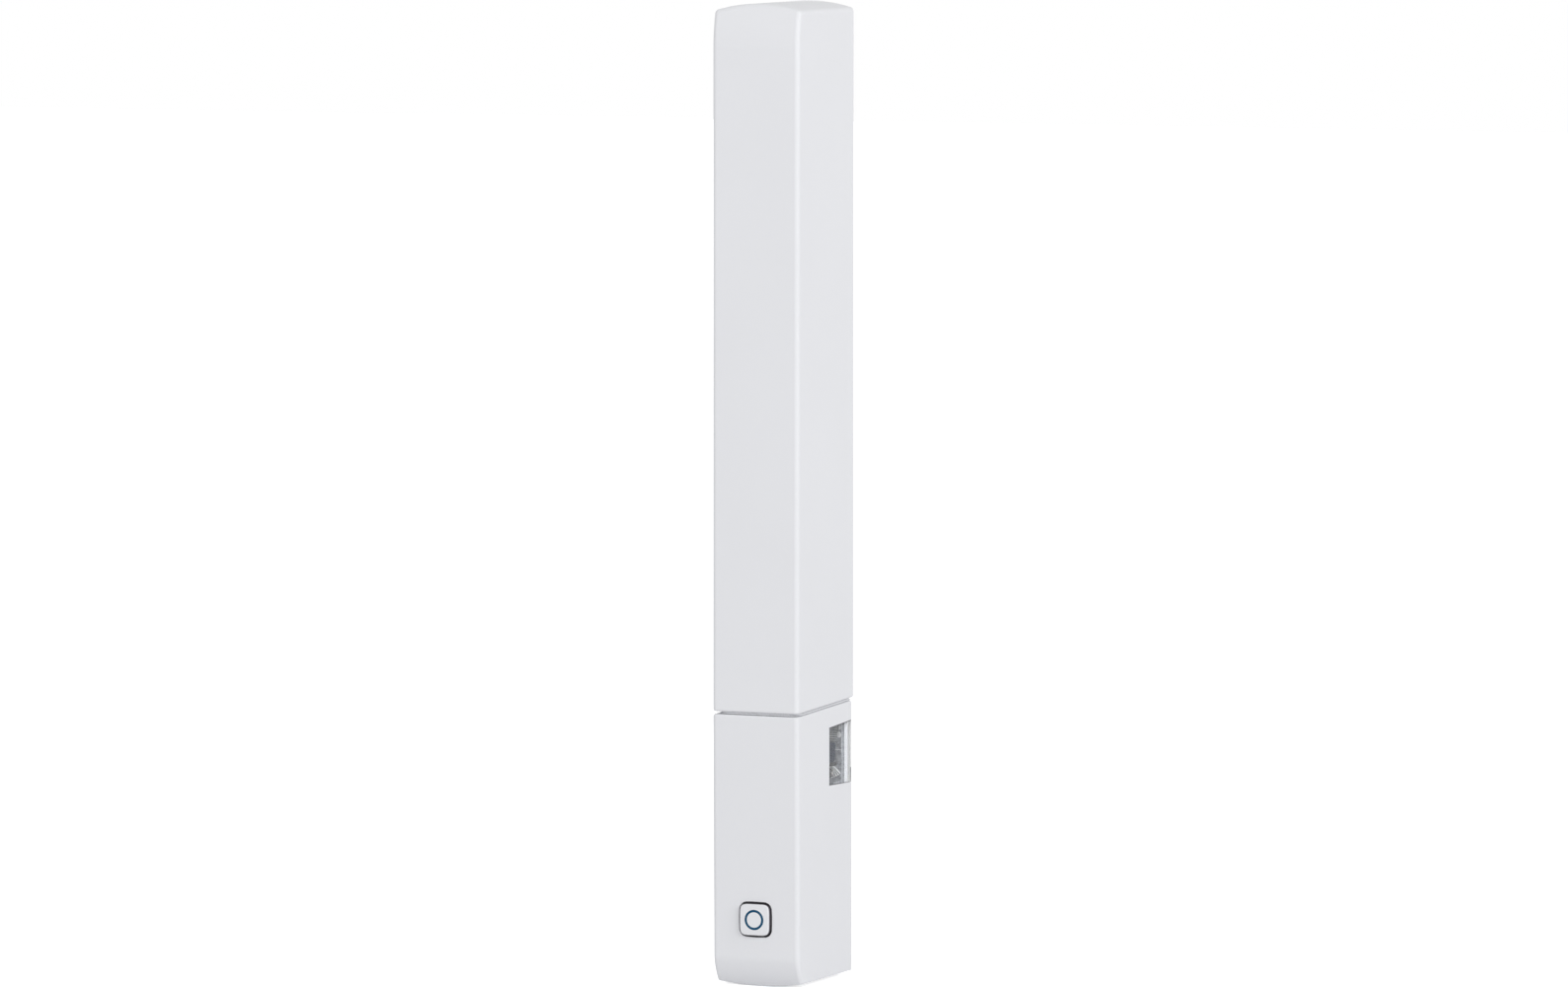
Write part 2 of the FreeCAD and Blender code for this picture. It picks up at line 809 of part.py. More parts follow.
def make_bridge():
    """One folded strip round the divider's front that joins the two cells."""
    body = new_body("bridge_contact")
    fold = new_sketch(body, "YZ")
    back = "-(cell_depth - contact_reach)"
    corners = [
        (back, "divider_base - contact_thickness"),
        ("-(divider_front + contact_thickness)", "divider_base - contact_thickness"),
        ("-(divider_front + contact_thickness)", "divider_top + contact_thickness"),
        (back, "divider_top + contact_thickness"),
        (back, "divider_top"),
        ("-divider_front", "divider_top"),
        ("-divider_front", "divider_base"),
        (back, "divider_base"),
    ]
    outline(fold, corners)
    pad(body, fold, "tab_width", midplane=True)
    place(body)
    return piece(body)


def make_spring(label, base):
    """A conical coil: a six-sided wire section lofted round a shrinking helix."""
    wire = number("spring_wire") / 2
    steps_a_turn = 12
    sides = 6
    steps = steps_a_turn * int(number("spring_turns"))
    upwards = FreeCAD.Vector(0, 0, 1)
    sections = []
    for step in range(steps + 1):
        share = step / steps
        angle = 2 * math.pi * step / steps_a_turn
        radius = number("spring_base_radius") * (1 - share) + number("spring_tip_radius") * share
        rise = wire + (number("spring_length") - 2 * wire) * share
        outwards = FreeCAD.Vector(math.cos(angle), math.sin(angle), 0)
        centre = outwards * radius + upwards * rise
        corners = []
        for side in range(sides):
            turn = 2 * math.pi * side / sides
            corners.append(centre + outwards * wire * math.cos(turn) + upwards * wire * math.sin(turn))
        sections.append(Part.makePolygon(corners + corners[:1]))
    coil = document.addObject("Part::Feature", label)
    coil.Label = label
    coil.Shape = Part.makeLoft(sections, True, True)
    place(coil, depth="cell_depth", height=base)
    return piece(coil)


# Board and what it carries

def make_board():
    body = new_body("circuit_board")
    sheet_cut = new_sketch(body, "XZ", "board_back")
    rectangle(sheet_cut, "-board_width / 2", "board_width / 2", "board_foot", "board_top")
    for height in ("board_screw_low", "board_screw_high"):
        ring(sheet_cut, "screw_diameter + slide_clearance", "-board_screw_side", height)
    pad(body, sheet_cut, "board_thickness")
    fillet(body, "board_corner", along_depth)
    place(body)
    return piece(body)


def make_antenna():
    """A stamped strip that stands off the board's back on a foot at its lower end."""
    body = new_body("antenna")
    fold = new_sketch(body, "YZ")
    corners = [
        ("0", "0"),
        ("antenna_rise", "0"),
        ("antenna_rise", "antenna_length"),
        ("antenna_rise - antenna_sheet", "antenna_length"),
        ("antenna_rise - antenna_sheet", "antenna_sheet"),
        ("0", "antenna_sheet"),
    ]
    outline(fold, corners)
    pad(body, fold, "antenna_width", midplane=True)
    place(body, depth="board_back", height="board_top - antenna_top_gap - antenna_length")
    return piece(body)


def make_switch():
    """The push switch on the board, with a round well for its plunger."""
    body = block("tact_switch", "switch_width", "switch_width", "switch_thickness", "edge_radius / 2")
    well = new_sketch(body, "XZ", "switch_thickness")
    ring(well, "plunger_diameter + 2 * slide_clearance")
    pocket(body, well, "plunger_room")
    place(body, depth="board_front", height="key_height")


def make_board_parts():
    make_board()
    make_antenna()
    make_switch()
    place(block("indicator_led", "led_width", "led_height", "led_thickness"),
          "-board_screw_side", "board_front", "led_place")
    place(block("microcontroller", "chip_width", "chip_width", "chip_thickness"),
          "chip_side", "board_front", "chip_place")
    place(block("crystal", "crystal_width", "crystal_height", "crystal_thickness", "edge_radius / 2"),
          "chip_side - chip_width / 2 - crystal_gap - crystal_width / 2", "board_front", "chip_place")
    place(disc("buffer_capacitor", "capacitor_diameter", "capacitor_length"),
          "capacitor_side", "board_front", "capacitor_place")
    place(block("radio_module", "radio_width", "radio_height", "radio_thickness", "edge_radius / 2"),
          "0", "board_front", "radio_place")


# Key

def make_key():
    """The key's dark core: a swollen square with a flange that stops behind the front wall."""
    body = new_body("key")
    flange = new_sketch(body, "XZ", "flange_back")
    squircle(flange, "flange_width - 2 * key_bulge")
    pad(body, flange, "flange_thickness")
    core = new_sketch(body, "XZ", "flange_back")
    squircle(core, "key_width")
    pad(body, core, "key_body_front - flange_back")
    fillet(body, "key_corner", along_depth)
    place(body, height="key_height")
    return piece(body)


def make_key_face():
    """The white face of the key, grooved for the round mark."""
    body = new_body("key_face")
    plate = new_sketch(body, "XZ", "key_body_front")
    squircle(plate, "key_width")
    pad(body, plate, "key_face_thickness")
    fillet(body, "key_corner", along_depth)
    groove = new_sketch(body, "XZ", "key_face_front")
    ring(groove, "mark_diameter")
    ring(groove, "mark_diameter - 2 * mark_stroke")
    pocket(body, groove, "mark_depth")
    place(body, height="key_height")
    return piece(body)


def make_mark():
    """The coloured ring let into the key's face."""
    body = new_body("key_ring")
    band = new_sketch(body, "XZ", "key_face_front - mark_depth")
    ring(band, "mark_diameter")
    ring(band, "mark_diameter - 2 * mark_stroke")
    pad(body, band, "mark_depth")
    place(body, height="key_height")
    return piece(body)


def make_key_parts():
    make_key()
    make_key_face()
    make_mark()
    place(disc("push_rod", "rod_diameter", "flange_back - plunger_front"),
          "0", "plunger_front", "key_height")
    place(disc("switch_plunger", "plunger_diameter", "plunger_height + plunger_root"),
          "0", "switch_front - plunger_root", "key_height")


# Sensor

def make_window():
    """The clear window: a flared plate in the side wall with a flange that stops it inside."""
    body = new_body("sensor_window")
    plate = new_sketch(body, "YZ", "half_inner")
    window_outline(plate, "0", "back_depth")
    pad(body, plate, "window_outer - half_inner")
    flange = new_sketch(body, "YZ", "flange_inner")
    front = "-(window_front + window_flange)"
    corners = [
        (front, "window_top + window_flange"),
        ("-flange_rear", "flange_top"),
        ("-flange_rear", "window_base - window_flare_base - window_flange"),
        (front, "window_base - window_flange"),
    ]
    outline(flange, corners)
    pad(body, flange, "window_flange_thickness")
    place(body)
    return piece(body)


def make_receiver():
    """The dark receiver on the board's edge, looking out of the side."""
    body = new_body("infrared_receiver")
    end = new_sketch(body, "YZ")
    rectangle(end, "0", "receiver_width", "-receiver_height / 2", "receiver_height / 2")
    pad(body, end, "receiver_length")
    fillet(body, "receiver_corner", along_side)
    place(body, "receiver_face - receiver_length", "board_back", "receiver_centre")
    return piece(body)


def make_emitter():
    """The clear emitter: a short barrel with a domed end, turned about the line it shines along."""
    body = new_body("infrared_emitter")
    half = "emitter_diameter / 2"
    profile = new_sketch(body, "XY")
    corners = [
        ("0", "0"),
        ("emitter_length", "0"),
        (f"emitter_length - {half}", half),
        ("0", half),
    ]
    lean = f"{half} * sqrt(0.5)"
    outline(profile, corners, {1: (f"emitter_length - {half} + {lean}", lean)})
    turn = body.newObject("PartDesign::Revolution", "infrared_emitter_turn")
    turn.Profile = profile
    turn.ReferenceAxis = (profile, ["H_Axis"])
    turn.Angle = 360
    document.recompute()
    place(body, "receiver_face - emitter_length", f"board_back - {half}", "emitter_centre")
    return piece(body)


def make_holder():
    """The grey liner on the back plate: a panel with a ledge above and below the sensors."""
    body = new_body("sensor_holder")
    low = "window_base - window_flare_base"
    high = "window_top + window_flare_top"
    panel = new_sketch(body, "XZ", "plate_front")
    rectangle(panel, "holder_left", "holder_right", low, high)
    pad(body, panel, "holder_thickness")
    for base in (low, f"{high} - holder_ledge"):
        ledge = new_sketch(body, "XZ", "holder_front")
        rectangle(ledge, "holder_left", "holder_right", base, f"{base} + holder_ledge")
        pad(body, ledge, "board_back - holder_front - seat_gap")
    place(body)
    return piece(body)


def make_fan():
    """A fan of thin ribs that spreads from a hub below the receiver, patterned about it."""
    body = new_body("reflector_fan")
    hub = new_sketch(body, "XZ")
    ring(hub, "2 * fan_hub_radius")
    pad(body, hub, "fan_relief")
    rib = new_sketch(body, "XZ")
    rectangle(rib, "0", "fan_radius", "-fan_rib / 2", "fan_rib / 2")
    spoke = pad(body, rib, "fan_relief")
    turn = body.newObject("PartDesign::PolarPattern", "reflector_fan_spread")
    turn.Originals = [spoke]
    turn.Axis = (rib, ["N_Axis"])
    bind(turn, "Angle", "fan_sweep")
    bind(turn, "Occurrences", "fan_ribs")
    body.Tip = turn
    document.recompute()
    body.Placement = FreeCAD.Placement(
        FreeCAD.Vector(), FreeCAD.Rotation(FreeCAD.Vector(0, -1, 0), SIZES["fan_start"])
    )
    place(body, "fan_side", "holder_front", "fan_height")
    return piece(body)


def make_barrier():
    """The dark wall between receiver and emitter."""
    back = "(holder_front + fan_relief + seat_gap)"
    body = block("light_barrier", "receiver_length", "barrier_thickness", f"board_back - {back}")
    middle = "(receiver_foot + emitter_centre + emitter_diameter / 2) / 2"
    place(body, "receiver_face - receiver_length / 2", back, middle)


def make_sensor():
    make_window()
    make_receiver()
    make_emitter()
    make_holder()
    make_fan()
    make_barrier()


# Fasteners and mounting

def make_screw(label):
    """A pan-headed screw whose head grows forward from its seat and whose shank runs back."""
    body = new_body(label)
    head = new_sketch(body, "XZ")
    ring(head, "screw_head")
    pad(body, head, "screw_head_height")
    shank = new_sketch(body, "XZ")
    ring(shank, "screw_diameter")
    pad(body, shank, "screw_length", reverse=True)
    return piece(body)


def make_screws():
    for label in ("board_screw_low", "board_screw_high"):
        place(make_screw(label), "-board_screw_side", "board_front", label)
    back_screw = make_screw("housing_screw")
    back_screw.Placement = FreeCAD.Placement(
        FreeCAD.Vector(), FreeCAD.Rotation(FreeCAD.Vector(0, 0, 1), 180)
    )
    place(back_screw, "0", "back_depth + screw_head_height", "housing_screw_height")


def make_strip():
    """The foam strip that holds the device to its frame; its back is the mounting face."""
    strip = block("adhesive_strip", "strip_width", "strip_height", "strip_thickness", "strip_corner")
    place(strip, "0", "0", "total_height / 2")


make_cap()
make_lower_housing()
make_carrier()
make_cell("lower_cell", "lower_cell_base")
make_cell("upper_cell", "upper_cell_base")
make_contact("lower_contact", "deck_top")
make_contact("top_contact", "end_wall_base - contact_thickness")
make_bridge()
make_spring("lower_spring", "deck_top + contact_thickness")
make_spring("upper_spring", "divider_top + contact_thickness")
make_board_parts()
make_key_parts()
make_sensor()
make_screws()
make_strip()
document.recompute()

for thing in document.Objects:
    if {"Invalid", "Error"} & set(thing.State):
        raise ValueError(f"{thing.Label} failed: {thing.State}")
for sub_part in PIECES:
    if sub_part.Shape.isNull() or not sub_part.Shape.isValid():
        raise ValueError(f"{sub_part.Label} has no valid shape")
os.makedirs("parts", exist_ok=True)
for sub_part in PIECES:
    sub_part.Shape.exportStep(f"parts/{sub_part.Label}.step")
    print(sub_part.Label, round(sub_part.Shape.Volume, 2), len(sub_part.Shape.Solids))
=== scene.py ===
# %% [markdown]
# # A slim door contact, dressed in Blender
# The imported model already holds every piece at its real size, and nothing here moves it.
# This lesson adds what the eye sees: the finish of each surface, the light, the camera, and
# finer meshes for the small round pieces that the construction model keeps plain.
# A new Blender file starts with a cube, a lamp and a camera. They go first, so that nothing is
# in the picture that this script didn't make.

import bpy
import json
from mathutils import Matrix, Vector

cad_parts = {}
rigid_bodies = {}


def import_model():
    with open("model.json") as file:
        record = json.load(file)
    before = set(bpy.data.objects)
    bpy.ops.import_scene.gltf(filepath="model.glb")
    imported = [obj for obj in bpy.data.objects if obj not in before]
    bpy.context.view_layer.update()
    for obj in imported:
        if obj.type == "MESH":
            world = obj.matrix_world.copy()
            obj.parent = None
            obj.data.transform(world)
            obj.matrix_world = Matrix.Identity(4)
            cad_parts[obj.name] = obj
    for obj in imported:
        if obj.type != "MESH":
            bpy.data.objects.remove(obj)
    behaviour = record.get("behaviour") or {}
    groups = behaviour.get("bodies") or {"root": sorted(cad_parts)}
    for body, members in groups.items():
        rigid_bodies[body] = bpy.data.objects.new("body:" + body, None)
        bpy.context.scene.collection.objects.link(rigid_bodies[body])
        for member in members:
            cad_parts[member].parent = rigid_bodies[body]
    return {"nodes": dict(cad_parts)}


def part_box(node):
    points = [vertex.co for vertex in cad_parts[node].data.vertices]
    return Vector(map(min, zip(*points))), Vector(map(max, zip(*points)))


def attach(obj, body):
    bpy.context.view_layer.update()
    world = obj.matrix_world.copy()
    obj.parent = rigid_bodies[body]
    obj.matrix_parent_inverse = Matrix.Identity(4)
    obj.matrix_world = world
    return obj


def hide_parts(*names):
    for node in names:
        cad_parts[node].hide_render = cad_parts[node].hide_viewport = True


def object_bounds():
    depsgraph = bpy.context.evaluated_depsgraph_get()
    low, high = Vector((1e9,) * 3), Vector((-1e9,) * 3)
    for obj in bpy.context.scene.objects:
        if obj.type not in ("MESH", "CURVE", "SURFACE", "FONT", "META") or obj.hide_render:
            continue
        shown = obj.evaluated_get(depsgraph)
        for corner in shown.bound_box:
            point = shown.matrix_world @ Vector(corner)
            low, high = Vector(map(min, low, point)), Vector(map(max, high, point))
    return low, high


for leftover in list(bpy.data.objects):
    bpy.data.objects.remove(leftover)
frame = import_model()
cad_low, cad_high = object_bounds()

import json
import math

import numpy as np
from mathutils import Vector

MM = 0.001
nodes = frame["nodes"]
bpy.context.scene.view_settings.view_transform = "Standard"
print("model box in mm:", [round(v / MM, 2) for v in (*cad_low, *cad_high)])

# %% [markdown]
# ## Camera
# The photograph was taken from the front right, a little above the object, through a long lens:
# the sides hardly converge. A camera on a sphere round one target point is the simplest match,
# because the turn, the height and the distance can each be tuned alone. The lens follows from
# the size of the object in the picture.

# %% Place the camera
TURN = math.radians(23.6)
RISE = math.radians(4.5)
DISTANCE = 1403 * MM
LENS = 217.6
TARGET = Vector((5.08, -21.8, 0.89)) * MM

towards_eye = Vector((
    math.sin(TURN) * math.cos(RISE),
    -math.cos(TURN) * math.cos(RISE),
    math.sin(RISE),
))
camera = bpy.data.objects.new("camera", bpy.data.cameras.new("camera"))
camera.data.lens = LENS
camera.data.sensor_width = 36
camera.data.clip_start = 0.01
camera.data.clip_end = 50
camera.location = TARGET + DISTANCE * towards_eye
camera.rotation_euler = (-towards_eye).to_track_quat("-Z", "Y").to_euler()
bpy.context.scene.collection.objects.link(camera)
bpy.context.scene.camera = camera
print("camera at", [round(v, 3) for v in camera.location])

# %% [markdown]
# ## Node helpers
# Every finish below is built from the same few steps: a grain in object space, a colour that
# follows it, a roughness that follows it and a bump. Small helpers keep each finish readable.
# Object coordinates are in metres, so a grain of half a millimetre is a scale of 2000.

# %% Helpers for materials
def finish(name):
    """A new material, its node tree and its main shader."""
    made = bpy.data.materials.new(name)
    made.use_nodes = True
    tree = made.node_tree
    return made, tree, tree.nodes["Principled BSDF"]


def link(tree, source, target):
    """Join an output socket to an input socket."""
    tree.links.new(source, target)


def place_of(tree):
    """Object coordinates: where a point lies on the piece itself, in metres."""
    return tree.nodes.new("ShaderNodeTexCoord").outputs["Object"]


def grain(tree, size, detail=2.0, stretch=(1, 1, 1)):
    """Noise from 0 to 1 whose blotches are about the given size in metres."""
    turn = tree.nodes.new("ShaderNodeMapping")
    turn.inputs["Scale"].default_value = stretch
    noise = tree.nodes.new("ShaderNodeTexNoise")
    noise.inputs["Scale"].default_value = 1 / size
    noise.inputs["Detail"].default_value = detail
    link(tree, place_of(tree), turn.inputs["Vector"])
    link(tree, turn.outputs["Vector"], noise.inputs["Vector"])
    return noise.outputs["Fac"]


def shade(tree, factor, dark, light, low=0.3, high=0.7):
    """A colour that runs from dark to light as the factor runs from low to high."""
    ramp = tree.nodes.new("ShaderNodeValToRGB")
    ramp.color_ramp.elements[0].position = low
    ramp.color_ramp.elements[0].color = (*dark, 1)
    ramp.color_ramp.elements[1].position = high
    ramp.color_ramp.elements[1].color = (*light, 1)
    link(tree, factor, ramp.inputs["Fac"])
    return ramp.outputs["Color"]


def spread(tree, factor, low, high):
    """A number that runs from low to high as the factor runs from 0 to 1."""
    between = tree.nodes.new("ShaderNodeMapRange")
    between.inputs["To Min"].default_value = low
    between.inputs["To Max"].default_value = high
    link(tree, factor, between.inputs["Value"])
    return between.outputs["Result"]


def emboss(tree, shader, height, depth):
    """Tilt the surface by a height field whose full swing is the depth in metres."""
    bump = tree.nodes.new("ShaderNodeBump")
    bump.inputs["Distance"].default_value = depth
    link(tree, height, bump.inputs["Height"])
    link(tree, bump.outputs["Normal"], shader.inputs["Normal"])


def dress(material, *names):
    """Give a finish to carried-over nodes of the model."""
    for name in names:
        slots = nodes[name].data.materials
        slots.clear()
        slots.append(material)
    print(f"{material.name}: {', '.join(names)}")


# %% [markdown]
# ## Moulded white shell
# The cap, the lower housing and the key's face are white plastic from an eroded steel mould.
# Up close such a wall has a very fine, even grain that breaks up reflections, and over the
# whole length its colour drifts by a hair. Two noises do it: one of a fifth of a millimetre for
# the bump and the roughness, one of two centimetres for the colour.

# %% White plastics
WHITE = (0.765, 0.772, 0.796)
FRAME_WHITE = [0.97 * value for value in WHITE]
DRIFT_SIZE = 20 * MM
DRIFT_SHADE = 0.985
ROUGHNESS_SWING = 0.06


def moulded(name, colour, grain_size, relief, roughness, gloss=0.5):
    """Moulded plastic: a fine grain tilts and dulls the surface, a broad one drifts its colour."""
    made, tree, shader = finish(name)
    shader.inputs["Specular IOR Level"].default_value = gloss
    fine = grain(tree, grain_size, 3.0)
    broad = grain(tree, DRIFT_SIZE)
    darker = [DRIFT_SHADE * value for value in colour]
    dulled = spread(tree, fine, roughness - ROUGHNESS_SWING, roughness + ROUGHNESS_SWING)
    link(tree, shade(tree, broad, darker, colour), shader.inputs["Base Color"])
    link(tree, dulled, shader.inputs["Roughness"])
    emboss(tree, shader, fine, relief)
    return made


shell_white = moulded("shell_white", WHITE, 0.22 * MM, 0.004 * MM, 0.5, gloss=0.3)
frame_white = moulded("frame_white", FRAME_WHITE, 0.35 * MM, 0.005 * MM, 0.55, gloss=0.3)
dress(shell_white, "battery_cap", "lower_housing", "key_face")
dress(frame_white, "carrier")

# %% [markdown]
# ## Dark, grey and coloured plastics
# The same moulded finish serves every other plastic, each with its own colour, grain and gloss.
# The receiver's filter block is nearly black and hardly shines. The holder behind the window
# has a coarse, dimpled face, so its relief is ten times deeper than on the shells, and it looks
# mottled from dark to light grey: there a ramp over the same grain replaces the plain colour.

# %% Dark, grey and coloured plastics
MOTTLE_SIZE = 0.5 * MM
MOTTLE_DARK = (0.21, 0.218, 0.24)
MOTTLE_LIGHT = (0.46, 0.473, 0.5)
core_dark = moulded("core_dark", (0.17, 0.158, 0.178), 0.3 * MM, 0.006 * MM, 0.5, gloss=0.3)
liner_grey = moulded("liner_grey", (0.36, 0.372, 0.4), MOTTLE_SIZE, 0.06 * MM, 0.35, gloss=0.6)
liner_tree = liner_grey.node_tree
spots = grain(liner_tree, MOTTLE_SIZE, 3.0)
mottle = shade(liner_tree, spots, MOTTLE_DARK, MOTTLE_LIGHT, low=0.36, high=0.64)
link(liner_tree, mottle, liner_tree.nodes["Principled BSDF"].inputs["Base Color"])
mark_blue = moulded("mark_blue", (0.002, 0.06, 0.13), 0.15 * MM, 0.002 * MM, 0.4, gloss=0.2)
filter_dark = moulded("filter_dark", (0.01, 0.019, 0.038), 0.3 * MM, 0.001 * MM, 0.5, gloss=0.1)
fan_white = moulded("fan_white", (0.8, 0.8, 0.8), 0.3 * MM, 0.002 * MM, 0.2)
# Dark adhesive round the window; its colour also paints the shade of the gap round the glass.
adhesive_and_gap_shade = moulded("adhesive_and_gap_shade", (0.1, 0.103, 0.11), 0.1 * MM, 0.004 * MM, 0.6, gloss=0.2)
chip_black = moulded("chip_black", (0.02, 0.02, 0.021), 0.08 * MM, 0.006 * MM, 0.6)
dress(core_dark, "key", "switch_plunger")
dress(liner_grey, "sensor_holder")
dress(mark_blue, "key_ring")
dress(filter_dark, "infrared_receiver")
dress(fan_white, "reflector_fan")
dress(chip_black, "microcontroller", "tact_switch", "light_barrier")


# %% [markdown]
# ## Clear plastic
# The window is polished acrylic. A glass-like shader bends what lies behind it, and rays from
# lamps are let straight through, so that the pieces behind the window are lit as in the studio.
# Acrylic refracts light by 1.49. The window is given 1.33, which mirrors about half as much of
# the white studio, because the photograph shows the dark receiver more clearly than 1.49 would.

# %% Clear plastics
ACRYLIC = 1.49
WINDOW_REFRACTION = 1.33
SCUFF_SIZE = 0.6 * MM


def clear(name, colour, roughness, bend):
    """Faintly tinted and scuffed clear plastic, which a lamp's rays pass unbent."""
    made, tree, shader = finish(name)
    shader.inputs["Base Color"].default_value = (*colour, 1)
    shader.inputs["Transmission Weight"].default_value = 1
    shader.inputs["IOR"].default_value = bend
    scuffs = grain(tree, SCUFF_SIZE, 4.0)
    link(tree, spread(tree, scuffs, roughness * 0.5, roughness * 1.5), shader.inputs["Roughness"])
    ray = tree.nodes.new("ShaderNodeLightPath")
    passing = tree.nodes.new("ShaderNodeBsdfTransparent")
    passing.inputs["Color"].default_value = (*colour, 1)
    either = tree.nodes.new("ShaderNodeMixShader")
    link(tree, ray.outputs["Is Shadow Ray"], either.inputs["Fac"])
    link(tree, shader.outputs["BSDF"], either.inputs[1])
    link(tree, passing.outputs["BSDF"], either.inputs[2])
    link(tree, either.outputs["Shader"], tree.nodes["Material Output"].inputs["Surface"])
    return made


window_clear = clear("window_clear", (0.95, 0.96, 0.97), 0.02, WINDOW_REFRACTION)
guide_clear = clear("guide_clear", (0.9, 0.92, 0.93), 0.08, ACRYLIC)
dress(window_clear, "sensor_window")
dress(guide_clear, "infrared_emitter", "push_rod", "indicator_led")


# %% [markdown]
# ## Metals
# Contacts and springs are nickel-plated steel. Rolled strip has faint lines along its length,
# which a noise stretched a hundredfold gives; the plating itself only dulls in soft blotches.

# %% Metals
LINE_SIZE = 0.15 * MM
LINE_RELIEF = 0.003 * MM
BLOTCH_SIZE = 1.5 * MM
BLOTCH_SHADE = 0.88


def plated(name, colour, roughness, along):
    """Bare metal: a noise drawn out along one axis grooves it, and broad blotches dull it."""
    made, tree, shader = finish(name)
    lines = grain(tree, LINE_SIZE, 2.0, stretch=along)
    blotches = grain(tree, BLOTCH_SIZE)
    darker = [BLOTCH_SHADE * value for value in colour]
    link(tree, shade(tree, blotches, darker, colour), shader.inputs["Base Color"])
    link(tree, spread(tree, lines, roughness - 0.08, roughness + 0.12), shader.inputs["Roughness"])
    shader.inputs["Metallic"].default_value = 1
    emboss(tree, shader, lines, LINE_RELIEF)
    return made


nickel = plated("nickel", (0.66, 0.64, 0.6), 0.25, (1, 0.01, 1))
zinc = plated("zinc", (0.55, 0.56, 0.58), 0.32, (1, 1, 1))
tin_can = plated("tin_can", (0.62, 0.62, 0.63), 0.3, (1, 1, 0.01))
brass = plated("brass", (0.72, 0.53, 0.22), 0.28, (1, 1, 0.01))
dress(nickel, "lower_contact", "top_contact", "bridge_contact", "lower_spring", "upper_spring")
dress(zinc, "board_screw_low", "board_screw_high", "housing_screw")
dress(tin_can, "crystal", "radio_module", "buffer_capacitor")
dress(brass, "antenna")

# %% [markdown]
# ## Board, cells and foam
# The board is covered by a smooth solder mask, each cell by a shrunk film, and the strip on the
# back is foam. At this size none of them has a pattern of its own, so the moulded finish serves
# again: a long, shallow grain for the film and a fine one with a deep relief for the foam.

# %% Board, cells and foam
board_mask = moulded("board_mask", (0.018, 0.02, 0.024), 0.5 * MM, 0.006 * MM, 0.35)
sleeve_film = moulded("sleeve_film", (0.06, 0.068, 0.08), 0.8 * MM, 0.004 * MM, 0.28)
band_pale = moulded("band_pale", (0.5, 0.51, 0.53), 0.8 * MM, 0.003 * MM, 0.3)
ceramic_tan = moulded("ceramic_tan", (0.42, 0.33, 0.22), 0.12 * MM, 0.003 * MM, 0.5)
foam_pale = moulded("foam_pale", (0.7, 0.7, 0.68), 0.25 * MM, 0.05 * MM, 0.8)
dress(board_mask, "circuit_board")
dress(sleeve_film, "lower_cell", "upper_cell")
dress(foam_pale, "adhesive_strip")


# %% [markdown]
# ## Surfaces from arrays
# The small round pieces are worked out as grids of points: every row is one step along the
# piece, every column one step around it. Numpy fills the whole grid from a formula at once, and
# one helper turns any number of such grids into a mesh. Rows that shrink to a point are merged
# there, so the piece is closed, and its faces are then turned outwards.

# %% Mesh from grids
import bmesh

FULL_TURN = 2 * math.pi


def cells_of(rows, columns, wraps):
    """Corner numbers of each cell; the last column joins the first, and rows too if it wraps."""
    row = np.arange(rows if wraps else rows - 1)[:, None]
    column = np.arange(columns)[None, :]
    below = (row + 1) % rows
    beside = (column + 1) % columns
    corners = (row * columns + column, below * columns + column,
               below * columns + beside, row * columns + beside)
    return np.stack(np.broadcast_arrays(*corners), axis=-1).reshape(-1, 4)


def make_piece(name, grids, material, body, replaced=(), wraps=False, crease=35):
    """One object from grids of points in mm, riding on a body, with smooth shading."""
    points = []
    faces = []
    start = 0
    for grid in grids:
        rows, columns = grid.shape[:2]
        points.append(grid.reshape(-1, 3))
        faces.append(cells_of(rows, columns, wraps) + start)
        start += rows * columns
    mesh = bpy.data.meshes.new(name)
    mesh.from_pydata((np.concatenate(points) * MM).tolist(), [], np.concatenate(faces).tolist())
    work = bmesh.new()
    work.from_mesh(mesh)
    bmesh.ops.remove_doubles(work, verts=work.verts, dist=0.0005 * MM)
    bmesh.ops.recalc_face_normals(work, faces=work.faces)
    work.to_mesh(mesh)
    work.free()
    mesh.shade_smooth()
    mesh.set_sharp_from_angle(angle=math.radians(crease))
    mesh.materials.append(material)
    made = bpy.data.objects.new(name, mesh)
    bpy.context.scene.collection.objects.link(made)
    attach(made, body)
    if replaced:
        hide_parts(*replaced)
    print(f"{name}: {len(mesh.polygons)} faces")
    return made


def around(count):
    """Angles of one turn as a row of columns."""
    return np.linspace(0, FULL_TURN, count, endpoint=False)[None, :]


def softened(corners, radius, steps=5):
    """A path, flat or in space, whose inner corners are bent: each becomes the curve
    (1-t)^2 before + 2t(1-t) corner + t^2 after, begun one radius away from the corner."""
    path = np.array(corners, float)
    corner = path[1:-1]
    before = path[:-2] - corner
    after = path[2:] - corner
    reach_before = np.linalg.norm(before, axis=1, keepdims=True)
    reach_after = np.linalg.norm(after, axis=1, keepdims=True)
    start = (corner + before * np.minimum(radius / reach_before, 0.5))[:, None]
    end = (corner + after * np.minimum(radius / reach_after, 0.5))[:, None]
    t = np.linspace(0, 1, steps)[None, :, None]
    bends = (1 - t) ** 2 * start + 2 * t * (1 - t) * corner[:, None] + t ** 2 * end
    return np.vstack([path[:1], bends.reshape(-1, path.shape[1]), path[-1:]])


def lathe(profile, centre, axis, count=64):
    """A profile of (radius, place along the axis) turned round the axis: the point at an angle
    is the centre plus radius times its cosine and sine on the two other axes."""
    profile = np.array(profile, float)
    angle = around(count)
    first, second = [other for other in range(3) if other != axis]
    grid = np.empty((len(profile), count, 3))
    grid[..., first] = centre[first] + profile[:, :1] * np.cos(angle)
    grid[..., second] = centre[second] + profile[:, :1] * np.sin(angle)
    grid[..., axis] = centre[axis] + profile[:, 1:2]
    return grid


